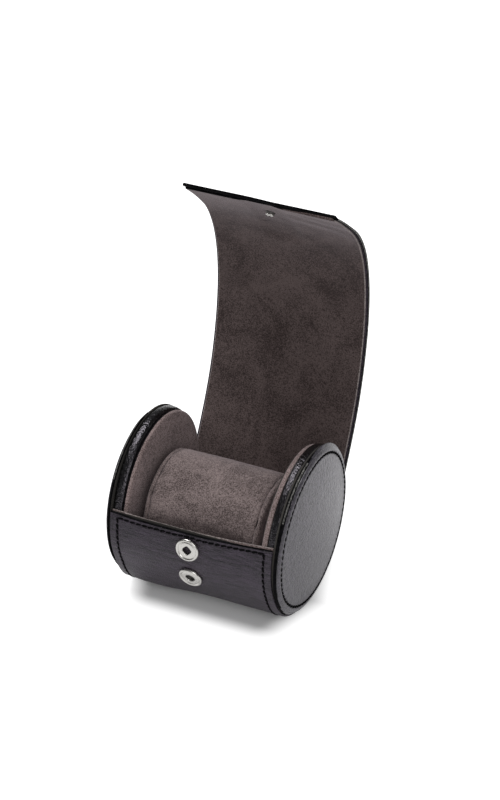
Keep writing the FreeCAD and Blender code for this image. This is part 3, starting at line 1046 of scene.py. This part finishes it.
class ROLL_OT_wrap(bpy.types.Operator):
    """Leather wrap round the front and underside, with its lining"""
    bl_idname = "roll.wrap"
    bl_label = "Wrap"

    def execute(self, context):
        end = WRAP_ARC + LEAD_LENGTH - LEAD_START
        # Rows lie closer together at the top stitches.
        alongs = [1.3, 1.6, 1.9, 2.2, 2.4, 2.6, 2.8, 3.0, 3.2, 3.5, 3.8, 4.3]
        alongs += list(np.arange(5.0, end - 0.4, 0.8)) + [end]

        def half(along):
            return WRAP_HALF + (FLAP_HALF - WRAP_HALF) * smooth(along, WRAP_ARC - 3.0, WRAP_ARC)

        points, faces, kinds = slab(wrap_line, alongs, half, LEATHER_IN, LEATHER_OUT, stitch_columns(),
                                    wrap_shift, front_drift, (True, False))
        hide = new_piece("wrap_hide", points, faces, [outer_leather(), dye_and_painted_shade()], "case", 50,
                         [0 if k in (SURFACE, EDGE_OUTER) else 1 for k in kinds])
        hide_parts("wrap_leather")

        columns = list(np.linspace(-0.98, 0.98, 40))
        rows = list(np.arange(0.3, WRAP_ARC, 1.6)) + [WRAP_ARC]

        def frayed(along):
            return 1 - smooth(along, 0.0, 2.0)

        def nap(x, along, outside):
            fray = 0.12 * lumps(x, along, 0.0, 1.3, 23.0) * frayed(along)
            return fray + (wrap_sag(x, along) if outside else 0.05 * lumps(x, along, 0.0, 8.0, 11.0) + 0.03)

        def fray_drift(x, along):
            return front_drift(x, along) + 0.25 * lumps(x, 0.0, 0.0, 1.7, 31.0) * frayed(along)

        points, faces, kinds = slab(wrap_line, rows, WRAP_HALF - 0.2, LINING_IN, WRAP_LINING_OUT, columns,
                                    nap, fray_drift, (True, False), 0.25)
        lining = new_piece("wrap_suede", points, faces, [pad_suede(), suede_edge()], "case", 50,
                           [1 if k == END else 0 for k in kinds])
        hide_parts("wrap_lining")

        lead = list(np.linspace(WRAP_ARC, end, 8))
        points, faces, kinds = slab(wrap_line, lead, FLAP_HALF - LINING_STEP, LINING_IN, LINING_OUT, columns,
                                    flap_nap_wrap, edge=0.4)
        root = new_piece("wrap_suede_lead", points, faces, [flap_suede()], "case", 50)
        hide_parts("wrap_lining")
        return {"FINISHED"}


# How far before the first hinge the flap's own pieces start, how much narrower its lining is,
# and how much its hide thickens past the first hinge.
LEAD_START = 6.0
LINING_STEP = 1.2
HIDE_SWELL = 0.8

# Where the dye on the lining's end stops, and how much further right it goes on each row towards the hide.
DYE_STOP = -6.0
DYE_STEP = 9.0

# The tip's right side: how far it reaches past the left, how far it droops, how much thinner its hide
# and its lining are, and the share of the lining's step that it takes up.
SIDE_REACH = 3.0
SIDE_DROOP = 1.2
SIDE_THIN_HIDE, SIDE_THIN_LINING = 0.6, 0.35
SIDE_NEARER = 0.9

# The lining where it lies on the snaps: how far it is pressed in, its half width and how it starts
# before the stud.
PRESS_DEPTH = 0.5
PRESS_HALF = (6.0, 11.0)
PRESS_START = (-30.0, -24.0)


def tip_side(x, along):
    """How much a place belongs to the tip's right side, which lies a little lower than the left."""
    return smooth(x, -8.0, FLAP_HALF) * smooth(along, FLAP_LENGTH - 45.0, FLAP_LENGTH)


def tip_drift(x, along):
    """How far the tip's right side reaches past the left."""
    return SIDE_REACH * tip_side(x, along)


def nap_drift(x, along):
    """The lining reaches nearer to the hide's end on the tip's right side."""
    return tip_drift(x, along) + SIDE_NEARER * LINING_STEP * tip_side(x, along)


def flap_nap(x, along, outside):
    """Soft unevenness of the flap's lining, with slanting creases where the tip curls over
    and the nap pressed down where it lies on the snaps."""
    droop = -SIDE_DROOP * tip_side(x, along)
    if outside:
        return droop
    soft = 0.10 * lumps(x, along, 0.0, 22.0, 13.0) + 0.04 * lumps(x, along, 0.0, 7.0, 2.0)
    near_tip = smooth(along, STRIP * 9.0, STRIP * 10.2) * (1 - smooth(along, STRIP * 10.9, STRIP * 11.4))
    slant = along + 0.42 * x
    creases = math.sin(slant * 0.5 + 2.2 * lumps(x, along, 0.0, 16.0, 8.0))
    creases *= 0.16 * near_tip * smooth(x, -12.0, 20.0)
    pressed = PRESS_DEPTH * (1 - smooth(abs(x - SNAP_X), *PRESS_HALF))
    pressed *= smooth(along - STUD_ALONG, *PRESS_START)
    return droop + soft + creases + SIDE_THIN_LINING * tip_side(x, along) + pressed


def flap_nap_wrap(x, along, outside):
    """The same for the lining's lead, with along counted from the wrap's front edge."""
    return flap_nap(x, along - WRAP_ARC - LEAD_LENGTH, outside)


def flap_waves(x, along, outside):
    """Swell and soft waves on the outside of the flap's leather."""
    droop = -SIDE_DROOP * tip_side(x, along)
    if not outside:
        return droop
    waves = 0.07 * lumps(x, along * 2.0, 0.0, 16.0, 21.0) + 0.02 * lumps(x * 0.3, along * 1.4, 0.0, 2.0, 5.0)
    thin = 1 - smooth(along, -LEAD_START, 10.0) + 0.7 * smooth(along, FLAP_LENGTH - 50.0, FLAP_LENGTH)
    return droop + waves - HIDE_SWELL * thin - SIDE_THIN_HIDE * tip_side(x, along)


# Rows of points along a strip of the flap and along its tip.
STRIP_ROWS = 13
TIP_ROWS = 22


class ROLL_OT_flap(bpy.types.Operator):
    """Leather flap and its suede lining, in pieces that each run across one hinge"""
    bl_idname = "roll.flap"
    bl_label = "Flap"

    def execute(self, context):
        cuts = [-LEAD_START] + [STRIP * (k + 0.5) for k in range(len(ARCS) - 1)] + [FLAP_LENGTH]
        columns = list(np.linspace(-0.985, 0.985, 60))
        corner = [math.radians(t) for t in (15, 30, 45, 60, 75, 90)]
        # The hide's outer edges take the raw edge finish, painted lighter as painted highlight.
        hide = ("hide", "flap_leather_", FLAP_HALF, LEATHER_IN, LEATHER_OUT + HIDE_SWELL, flap_waves,
                tip_drift, FLAP_LENGTH, [outer_leather(), dye_and_painted_shade(), raw_edge_and_highlight()], (0, 2, 1, 1), "leather")
        nap = ("suede", "flap_lining_", FLAP_HALF - LINING_STEP, LINING_IN, LINING_OUT, flap_nap,
               nap_drift, FLAP_LENGTH - LINING_STEP, [flap_suede(), suede_edge(), dye_and_painted_shade()], (0, 1, 1, 2),
               "suede")
        bodies = ["case"] + FLAP_BODIES
        for kind, node, wide, inner, outer, shift, drift, length, finishes, by_kind, slot in (hide, nap):
            def half(along):
                past = along - (length - TIP_CORNER)
                if past <= 0:
                    return wide
                return wide - TIP_CORNER + math.sqrt(max(TIP_CORNER ** 2 - past ** 2, 0.0))

            for k, (start, end) in enumerate(zip(cuts, cuts[1:])):
                last = k == len(cuts) - 2
                stop = length - (outer - inner) / 2 if last else end
                if last:
                    rows = list(np.linspace(start, stop - TIP_CORNER, TIP_ROWS))
                    rows += [stop - TIP_CORNER * (1 - math.sin(t)) for t in corner]
                else:
                    rows = list(np.linspace(start, stop, STRIP_ROWS))
                points, faces, kinds = slab(flap_line, rows, half, inner, outer, columns, shift, drift,
                                            (False, last), 0.45)
                tail = bodies[k + 1].removeprefix("flap_")
                finish = [by_kind[n] for n in kinds]
                if last and kind == "suede":
                    finish = self.fade_dye(points, faces, kinds, finish)
                piece = new_piece("flap_" + kind + "_" + tail, points, faces, finishes, None, 50, finish)
                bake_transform(piece)
                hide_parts(node + tail)
        return {"FINISHED"}

    def fade_dye(self, points, faces, kinds, finish):
        """Lets the dye on the lining's end run out towards the right, row by row.
        The layer's two caps together are as long as one more row."""
        rounded = len(END_ROUND)
        first = kinds.index(END)
        row = (len(kinds) - first) // (rounded + 1)
        faded = list(finish)
        for n in range(first, len(faces)):
            stop = DYE_STOP + DYE_STEP * min((n - first) // row, rounded)
            if points[faces[n][0]][0] > stop:
                faded[n] = 0
        return faded


# Stitches lie this deep in the leather, none is sewn lower than this above the table,
# and the top row bends up beside the snap.
STITCH_SINK = 0.22
LOWEST_STITCH = 0.6
TOP_STITCH_BEND, TOP_BEND_WIDTH = 0.45, 4.0


class ROLL_OT_wrap_stitches(bpy.types.Operator):
    """Stitches down both sides of the wrap and along its front edge"""
    bl_idname = "roll.wrap_stitches"
    bl_label = "Wrap stitches"

    def execute(self, context):
        sizes = context.scene.roll_sizes
        places = []
        level = LEATHER_OUT - STITCH_SINK

        def spot(x, along):
            at, out = wrap_line(along + front_drift(x, along))
            return np.array([x, *(at + out * (level + wrap_sag(x, along)))]), np.array([0.0, *out])

        def place(x, along, dx, step):
            """Where a stitch lies, which way it runs and which way is out."""
            middle, out = spot(x, along)
            run = spot(x + dx, along + step)[0] - spot(x - dx, along - step)[0]
            return middle, run / np.linalg.norm(run), out

        count = round((WRAP_ARC - TOP_STITCH) / sizes.stitch_pitch)
        step = (WRAP_ARC - TOP_STITCH) / count
        for x in (-SIDE_STITCH_X, SIDE_STITCH_X):
            for k in range(count):
                along = TOP_STITCH + (k + 0.5) * step
                if spot(x, along)[0][2] >= LOWEST_STITCH:
                    places.append(place(x, along, 0.0, 0.5))
        across = round(2 * SIDE_STITCH_X / sizes.stitch_pitch)
        step = 2 * SIDE_STITCH_X / across
        for k in range(across):
            x = -SIDE_STITCH_X + (k + 0.5) * step
            along = TOP_STITCH - TOP_STITCH_BEND * hump(x, SNAP_X, TOP_BEND_WIDTH)
            places.append(place(x, along, 0.5, 0.0))
        points, faces = stitch_row(places, sizes)
        row = new_piece("wrap_stitches", points, faces, [thread_finish()], "case", 60)
        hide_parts("wrap_thread")
        return {"FINISHED"}


# Outline of a socket's rim as (radius, height) from its seat, and of the hole's edge and well from the hole.
SOCKET_RIM = (
    (5.3, -0.55), (5.62, -0.4), (5.7, 0.1), (5.66, 0.45), (5.52, 0.74), (5.3, 0.93), (5.0, 1.0),
    (4.72, 0.93), (4.52, 0.74), (4.38, 0.62), (4.2, 0.66), (4.0, 0.8), (3.6, 0.86), (3.0, 0.9))
HOLE_EDGE = ((0.3, 0.9), (0.08, 0.84), (0.0, 0.7))
HOLE_WELL = ((0.0, 0.1), (0.02, -0.65))
SOCKET_BACK = -0.9
# For the upper and the lower socket: how far it tilts up in degrees, how proud it sits, the radius of
# its hole, and the hole's shape, from a round one at 2 to a square that stands on its corner at 1.
SOCKETS = ((0.0, 0.0, 2.35, 1.25), (3.6, 0.15, 2.3, 2.0))
ROUND = 2.0


class ROLL_OT_snaps(bpy.types.Operator):
    """Snap sockets on the front, with rolled rims and wells painted dark, partly as painted shade"""
    bl_idname = "roll.snaps"
    bl_label = "Snaps"

    def execute(self, context):
        steps = 72
        side = np.array([1.0, 0.0, 0.0])
        points = []
        faces = []
        finish = []
        for degrees, (tilt, proud, hole, square) in zip(SOCKET_ANGLES, SOCKETS):
            a = math.radians(degrees - tilt)
            out = np.array([0.0, math.cos(a), math.sin(a)])
            up = np.array([0.0, -math.sin(a), math.cos(a)])
            seat = np.array([SNAP_X, *polar(WRAP_RADIUS + proud, degrees)])
            levels = [(r, h, ROUND) for r, h in SOCKET_RIM]
            levels += [(hole + r, h, square) for r, h in HOLE_EDGE + HOLE_WELL]
            bright = (len(levels) - len(HOLE_WELL) - 1) * steps
            rings = []
            for radius, height, power in levels:
                ring = []
                for k in range(steps):
                    t = 2 * math.pi * k / steps
                    c, s = math.cos(t), math.sin(t)
                    reach = radius / (abs(c) ** power + abs(s) ** power) ** (1 / power)
                    ring.append(len(points))
                    points.append(tuple(seat + out * height + side * (c * reach) + up * (s * reach)))
                rings.append(ring)
            floor, back = len(points), len(points) + 1
            points += [tuple(seat + out * HOLE_WELL[-1][1]), tuple(seat + out * SOCKET_BACK)]
            made = skin_rings(rings, cap_start=back, cap_end=floor)
            faces += [f[::-1] for f in made]
            # The wells and their floors take the dull metal, painted dark partly as painted shade.
            dark = len(HOLE_WELL) * steps
            finish += [0] * bright + [1] * dark + [0] * steps + [1] * steps
        sockets = new_piece("snap_socket_pair", points, faces, [nickel(), dull_metal_and_shade()], "case", 50, finish)
        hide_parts("snap_sockets")
        return {"FINISHED"}


# The stud's base as (radius, height), and its four lobes: half width, half height, step from the middle
# and height above the lining. The ends of both are crowned by a share of their radius.
STUD_BASE = ((2.1, 0.3), (2.28, 0.18), (2.3, -0.65))
LOBE_HALF, LOBE_RISE = 0.78, 0.72
LOBE_STEP, LOBE_LEVEL = 0.86, 0.78
STUD_CROWN = 0.12


class ROLL_OT_stud(bpy.types.Operator):
    """Snap stud inside the flap's tip: four rounded lobes on a thin base"""
    bl_idname = "roll.stud"
    bl_label = "Stud"

    def execute(self, context):
        steps = 32
        at, out = flap_line(STUD_ALONG)
        inward = -np.array([0.0, *out])
        side = np.array([1.0, 0.0, 0.0])
        ahead = np.cross(inward, side)
        seat = np.array([SNAP_X, *at]) + inward * -LINING_IN
        turns = np.radians((24, 48, 72, 96, 120, 144, 164))
        lobe = [(math.sin(t) * LOBE_HALF, -math.cos(t) * LOBE_RISE) for t in turns]
        solids = [(seat, STUD_BASE)]
        for u, v in ((1, 1), (1, -1), (-1, 1), (-1, -1)):
            step = side * (LOBE_STEP * u) + ahead * (LOBE_STEP * v)
            solids.append((seat + step + inward * LOBE_LEVEL, lobe))
        points = []
        faces = []
        finish = []
        for centre, levels in solids:
            rings = []
            for radius, height in levels:
                ring = []
                for k in range(steps):
                    t = 2 * math.pi * k / steps
                    around = side * math.cos(t) + ahead * math.sin(t)
                    ring.append(len(points))
                    points.append(tuple(centre + inward * height + around * radius))
                rings.append(ring)
            tips = [len(points), len(points) + 1]
            for radius, height in (levels[0], levels[-1]):
                points.append(tuple(centre + inward * (height + math.copysign(radius * STUD_CROWN, height))))
            made = skin_rings(rings, cap_start=tips[0], cap_end=tips[1])
            faces += made if levels is lobe else [f[::-1] for f in made]
            # The base under the lobes takes the dull metal, painted dark partly as painted shade.
            finish += [0 if levels is lobe else 1] * len(made)
        stud = new_piece("snap_stud_lobes", points, faces, [nickel(), dull_metal_and_shade()], "flap_tip", 50, finish)
        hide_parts("snap_stud")
        return {"FINISHED"}


# The cushion, from its solids.
CUSHION_Y = (COVER_LOW[1] + COVER_HIGH[1]) / 2
CUSHION_RADIUS = (COVER_HIGH[1] - COVER_LOW[1]) / 2
CUSHION_TOP = COVER_HIGH[2] - CUSHION_RADIUS
CUSHION_LOW = COVER_LOW[2] + CUSHION_RADIUS
CUSHION_SEAM = COVER_HIGH[0]
CUSHION_HALF = CUSHION_END_HIGH[0]
# How far the loose cushion lies to the right of the middle.
CUSHION_SHIFT = 0.35


def oval(radius, count):
    """Points of (y, z, outwards) on the cushion's outline, evenly spaced.
    Its top and bottom are round, its sides straight."""
    straight = CUSHION_TOP - CUSHION_LOW
    bend = math.pi * radius
    total = 2 * (straight + bend)
    found = []
    for k in range(count):
        s = total * k / count
        if s < bend:
            a = s / radius
            c, base = (math.cos(a), math.sin(a)), CUSHION_TOP
        elif s < bend + straight:
            c, base = (-1.0, 0.0), CUSHION_TOP - (s - bend)
        elif s < 2 * bend + straight:
            a = math.pi + (s - bend - straight) / radius
            c, base = (math.cos(a), math.sin(a)), CUSHION_LOW
        else:
            c, base = (1.0, 0.0), CUSHION_LOW + (s - 2 * bend - straight)
        found.append((CUSHION_Y + radius * c[0], base + radius * c[1], c))
    return found


def settle(piece, pinned, frames, reach):
    """Swells a cover under pressure with its seams held, and returns the moved points."""
    group = piece.vertex_groups.new(name="held")
    group.add(pinned, 1.0, "REPLACE")
    cloth = piece.modifiers.new("Cloth", "CLOTH")
    settings = cloth.settings
    settings.quality = 6
    settings.mass = 0.2
    settings.tension_stiffness = 30
    settings.compression_stiffness = 30
    settings.shear_stiffness = 12
    settings.bending_stiffness = 1.0
    settings.use_pressure = True
    settings.uniform_pressure_force = 4.0
    settings.shrink_min = -0.015
    settings.vertex_group_mass = "held"
    settings.effector_weights.gravity = 0.0
    cloth.point_cache.frame_start = 1
    cloth.point_cache.frame_end = frames
    scene = bpy.context.scene
    rest = np.array([v.co for v in piece.data.vertices])
    for number in range(1, frames + 1):
        scene.frame_set(number)
    shaped = piece.evaluated_get(bpy.context.evaluated_depsgraph_get()).to_mesh()
    moved = np.array([v.co for v in shaped.vertices])
    piece.modifiers.remove(cloth)
    scene.frame_set(1)
    step = moved - rest
    far = np.linalg.norm(step, axis=1, keepdims=True)
    step *= np.minimum(1.0, reach * MM / np.maximum(far, 1e-9))
    return rest + step


# Room for the cover's swelling, the cover's crown between the seams, and the rings of the cushion's ends.
COVER_ROOM, COVER_CROWN = 0.95, 0.25
END_RINGS = 8
# Tucks beside the seams, soft lumps all over, and the part of the ends, round their middle, that has none.
TUCK_DEPTH, TUCK_WIDTH = 0.1, 2.2
LUMP_DEPTH, LUMP_SIZE = 0.1, 13.0
END_MIDDLE = 5.0
# The seam's cord: how far it lies above the seam's bottom, and its half width and half height.
CORD_LEVEL, CORD_HALF, CORD_RISE = 0.4, 0.2, 0.16
CORD_SIDES = 6


class ROLL_OT_cushion(bpy.types.Operator):
    """Loose suede cushion with a seam near each end"""
    bl_idname = "roll.cushion"
    bl_label = "Cushion"

    def execute(self, context):
        sizes = context.scene.roll_sizes
        count = 132
        seam = CUSHION_SEAM
        body = CUSHION_RADIUS - COVER_ROOM
        stations = [(x, body + COVER_CROWN * (1 - (x / seam) ** 2)) for x in np.linspace(0, seam - 2.0, 14)]
        # The seam pulls the cover in, and beyond it lies the end's rounded edge.
        stations += [(seam - 1.2, body - 0.06), (seam - 0.6, body - 0.25), (seam - 0.25, body - 0.55),
                     (seam, body - sizes.seam_depth), (seam + 0.25, body - 0.55), (seam + 0.6, body - 0.2),
                     (seam + 1.3, body), (seam + 2.0, body - 0.15), (seam + 2.55, body - 0.6),
                     (seam + 2.9, body - 1.3)]
        for k in range(1, END_RINGS + 1):
            part = k / END_RINGS
            stations.append((CUSHION_HALF - 0.05 + 0.25 * part, body - 1.3 - (body - 3.0) * part))
        stations = [(-x, r) for x, r in reversed(stations[1:])] + stations
        stations = [(x + CUSHION_SHIFT, r) for x, r in stations]
        points = []
        rings = []
        pinned = []
        for x, radius in stations:
            ring = []
            for y, z, _ in oval(radius, count):
                ring.append(len(points))
                points.append((x, y, z))
            if abs(abs(x - CUSHION_SHIFT) - seam) < 0.01:
                pinned += ring
            rings.append(ring)
        ends = []
        for sign in (-1, 1):
            ends.append(len(points))
            across = sign * (CUSHION_HALF + 0.2) + CUSHION_SHIFT
            points.append((across, CUSHION_Y, (CUSHION_TOP + CUSHION_LOW) / 2))
        faces = skin_rings(rings, cap_start=ends[0], cap_end=ends[1])
        faces = [f[::-1] for f in faces]
        cushion = new_piece("cushion_pillow", points, faces, [cushion_suede()], None, 180)
        shaped = settle(cushion, pinned, frames=14, reach=0.8)
        cushion.data.vertices.foreach_set("co", shaped.astype(np.float32).ravel())
        for v in cushion.data.vertices:
            x, y, z = np.array(v.co) / MM
            tuck = TUCK_DEPTH * hump(abs(x - CUSHION_SHIFT), seam, TUCK_WIDTH)
            tuck *= lumps(y * 1.2, z * 1.2, x * 0.2, 3.0, 5.0)
            soft = LUMP_DEPTH * lumps(x, y, z, LUMP_SIZE, 17.0)
            out = np.array([0.0, y - CUSHION_Y, z - min(max(z, CUSHION_LOW), CUSHION_TOP)])
            far = np.linalg.norm(out)
            if far < END_MIDDLE:
                continue
            most = CUSHION_RADIUS - far
            grow = min(tuck + soft, most)
            v.co = np.array([x, *(np.array([y, z]) + out[1:] / far * grow)]) * MM
        cushion.data.update()
        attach(cushion, "cushion")
        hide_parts("cushion_cover", "cushion_core", "cushion_end_left", "cushion_end_right")

        for side, sign in ENDS:
            points = []
            rings = []
            for y, z, out in oval(body - sizes.seam_depth + CORD_LEVEL, 180):
                ring = []
                for n in range(CORD_SIDES):
                    a = 2 * math.pi * n / CORD_SIDES
                    lift = CORD_RISE * math.sin(a)
                    ring.append(len(points))
                    across = sign * seam + CUSHION_SHIFT + CORD_HALF * math.cos(a)
                    points.append((across, y + out[0] * lift, z + out[1] * lift))
                rings.append(ring)
            faces = skin_rings(rings, closed=True)
            thread = new_piece("cushion_seam_cord_" + side, points, faces, [thread_finish()], "cushion", 80)
            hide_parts("cushion_seam_" + side)
        return {"FINISHED"}


class ROLL_OT_kept_parts(bpy.types.Operator):
    """Finishes of the frame's own parts that stay in view"""
    bl_idname = "roll.kept_parts"
    bl_label = "Kept parts"

    def execute(self, context):
        board = board_finish("stiffening board", context.scene.roll_colours.board)
        for name, node in frame["nodes"].items():
            if node.hide_render:
                continue
            finish = nickel() if name.startswith("snap_") else board
            node.data.materials.clear()
            node.data.materials.append(finish)
            node.data.set_sharp_from_angle(angle=math.radians(35))
        return {"FINISHED"}


# Half the table top, how far it lies below the roll, and the lamps' places, sizes and aim, in metres.
TABLE_HALF, TABLE_DROP = 6.0, 0.0002
KEY_PLACE, KEY_SIZE = (-0.42, 0.16, 1.12), 0.5
SIDE_PLACE, SIDE_SIZE = (0.6, -0.82, 0.72), 0.7
LAMP_AIM = (0.0, 0.0, 0.06)


class ROLL_OT_stage(bpy.types.Operator):
    """Pale table, soft studio light and the camera"""
    bl_idname = "roll.stage"
    bl_label = "Stage"

    def execute(self, context):
        scene = context.scene
        stage = scene.roll_stage
        self.table(scene, stage)
        self.surroundings(scene, stage)
        self.lamp(scene, "key", stage.key, KEY_SIZE, KEY_PLACE)
        self.lamp(scene, "side", stage.side, SIDE_SIZE, SIDE_PLACE)

        data = bpy.data.cameras.new("camera")
        data.lens = stage.lens
        data.sensor_width = 36.0
        data.clip_start = 0.01
        camera = bpy.data.objects.new("camera", data)
        camera.location = stage.camera_place
        look = Vector(stage.camera_target) - Vector(stage.camera_place)
        camera.rotation_euler = look.to_track_quat("-Z", "Y").to_euler()
        scene.collection.objects.link(camera)
        scene.camera = camera
        scene.view_settings.view_transform = "Standard"
        return {"FINISHED"}

    def table(self, scene, stage):
        """A matt table top that looks white, apart from a painted shadow under the roll: a patch there holds
        back the added white, so the lamps' shade shows.
        """
        mesh = bpy.data.meshes.new("floor")
        corners = [(x * TABLE_HALF, y * TABLE_HALF, 0) for x, y in ((-1, -1), (1, -1), (1, 1), (-1, 1))]
        mesh.from_pydata(corners, [], [(0, 1, 2, 3)])
        floor = bpy.data.objects.new("floor", mesh)
        floor.location.z = -TABLE_DROP
        scene.collection.objects.link(floor)
        paint = bpy.data.materials.new("table top")
        paint.use_nodes = True
        tree = paint.node_tree
        tree.nodes.clear()
        matt = fill(add(tree, "ShaderNodeBsdfDiffuse"), {"Color": scene.roll_colours.floor})
        path = add(tree, "ShaderNodeLightPath")
        seen = self.seen(tree, path)
        seen = math_node(tree, "MULTIPLY_ADD", path.outputs["Is Glossy Ray"], stage.mirrored_lift, seen)
        # Painted shadow: the added white fades out over a patch under and in front of the roll, also as shiny
        # parts see the floor.
        place = add(tree, "ShaderNodeTexCoord").outputs["Object"]
        across = fill(add(tree, "ShaderNodeSeparateXYZ"), {0: place})
        forwards = math_node(tree, "ABSOLUTE", across.outputs[1])
        sideways = math_node(tree, "SUBTRACT", across.outputs[0], stage.shade_shift)
        sideways = math_node(tree, "ABSOLUTE", sideways)
        sideways = math_node(tree, "MULTIPLY_ADD", forwards, stage.shade_taper, sideways)
        shade = 1.0 - stage.shade_lift
        for away, inner, outer in ((sideways, stage.shade_inner, stage.shade_outer),
                                   (forwards, stage.shade_front, stage.shade_reach)):
            ramp = add(tree, "ShaderNodeMapRange", interpolation_type="SMOOTHSTEP")
            fill(ramp, {"Value": away, "From Min": inner, "From Max": outer, "To Min": 1.0, "To Max": 0.0})
            shade = math_node(tree, "MULTIPLY", ramp.outputs[0], shade)
        seen = math_node(tree, "MULTIPLY", seen, math_node(tree, "SUBTRACT", 1.0, shade))
        strength = math_node(tree, "MULTIPLY", seen, stage.lift)
        lift = fill(add(tree, "ShaderNodeEmission"), {"Strength": strength})
        both = add(tree, "ShaderNodeAddShader")
        tree.links.new(matt.outputs[0], both.inputs[0])
        tree.links.new(lift.outputs[0], both.inputs[1])
        tree.links.new(both.outputs[0], add(tree, "ShaderNodeOutputMaterial").inputs["Surface"])
        mesh.materials.append(paint)

    def surroundings(self, scene, stage):
        """Soft light from all round, white where it is seen and dim where shiny parts show it."""
        world = bpy.data.worlds.new("studio")
        scene.world = world
        world.use_nodes = True
        tree = world.node_tree
        tree.nodes.clear()
        path = add(tree, "ShaderNodeLightPath")
        strength = math_node(tree, "MULTIPLY_ADD", self.seen(tree, path), 1.0 - stage.ambient, stage.ambient)
        strength = math_node(tree, "MULTIPLY_ADD", path.outputs["Is Glossy Ray"],
                             stage.mirrored - stage.ambient, strength)
        sky = fill(add(tree, "ShaderNodeBackground"), {"Color": (1, 1, 1, 1), "Strength": strength})
        tree.links.new(sky.outputs[0], add(tree, "ShaderNodeOutputWorld").inputs["Surface"])

    def seen(self, tree, path):
        """1 where the camera looks straight at a thing, or through glass."""
        return math_node(tree, "MAXIMUM", path.outputs["Is Camera Ray"], path.outputs["Is Transmission Ray"])

    def lamp(self, scene, name, power, size, place):
        """A square soft light that points at the roll."""
        data = bpy.data.lights.new(name, "AREA")
        data.energy = power
        data.size = size
        lamp = bpy.data.objects.new(name, data)
        lamp.location = place
        look = Vector(LAMP_AIM) - Vector(place)
        lamp.rotation_euler = look.to_track_quat("-Z", "Y").to_euler()
        scene.collection.objects.link(lamp)


class ROLL_PT_panel(bpy.types.Panel):
    """Lists the roll's pieces, colours and sizes"""
    bl_idname = "ROLL_PT_panel"
    bl_label = "Watch Roll"
    bl_space_type = "VIEW_3D"
    bl_region_type = "UI"
    bl_category = "Watch Roll"

    def draw(self, context):
        layout = self.layout
        for group in (context.scene.roll_colours, context.scene.roll_sizes, context.scene.roll_stage):
            column = layout.column()
            for key in group.__annotations__:
                column.prop(group, key)
        for operator in PIECES:
            layout.operator(operator.bl_idname)


PIECES = (
    ROLL_OT_end_faces,
    ROLL_OT_rims,
    ROLL_OT_suede_pads,
    ROLL_OT_wrap,
    ROLL_OT_wrap_stitches,
    ROLL_OT_flap,
    ROLL_OT_snaps,
    ROLL_OT_stud,
    ROLL_OT_cushion,
    ROLL_OT_kept_parts,
    ROLL_OT_stage,
)
GROUPS = (("roll_colours", RollColours), ("roll_sizes", RollSizes), ("roll_stage", RollStage))


def register():
    for name, group in GROUPS:
        bpy.utils.register_class(group)
        setattr(bpy.types.Scene, name, bpy.props.PointerProperty(type=group))
    for made in PIECES:
        bpy.utils.register_class(made)
    bpy.utils.register_class(ROLL_PT_panel)


def unregister():
    bpy.utils.unregister_class(ROLL_PT_panel)
    for made in reversed(PIECES):
        bpy.utils.unregister_class(made)
    for name, group in reversed(GROUPS):
        delattr(bpy.types.Scene, name)
        bpy.utils.unregister_class(group)


def main():
    register()
    for made in PIECES:
        family, name = made.bl_idname.split(".")
        getattr(getattr(bpy.ops, family), name)()


if __name__ == "__main__":
    main()
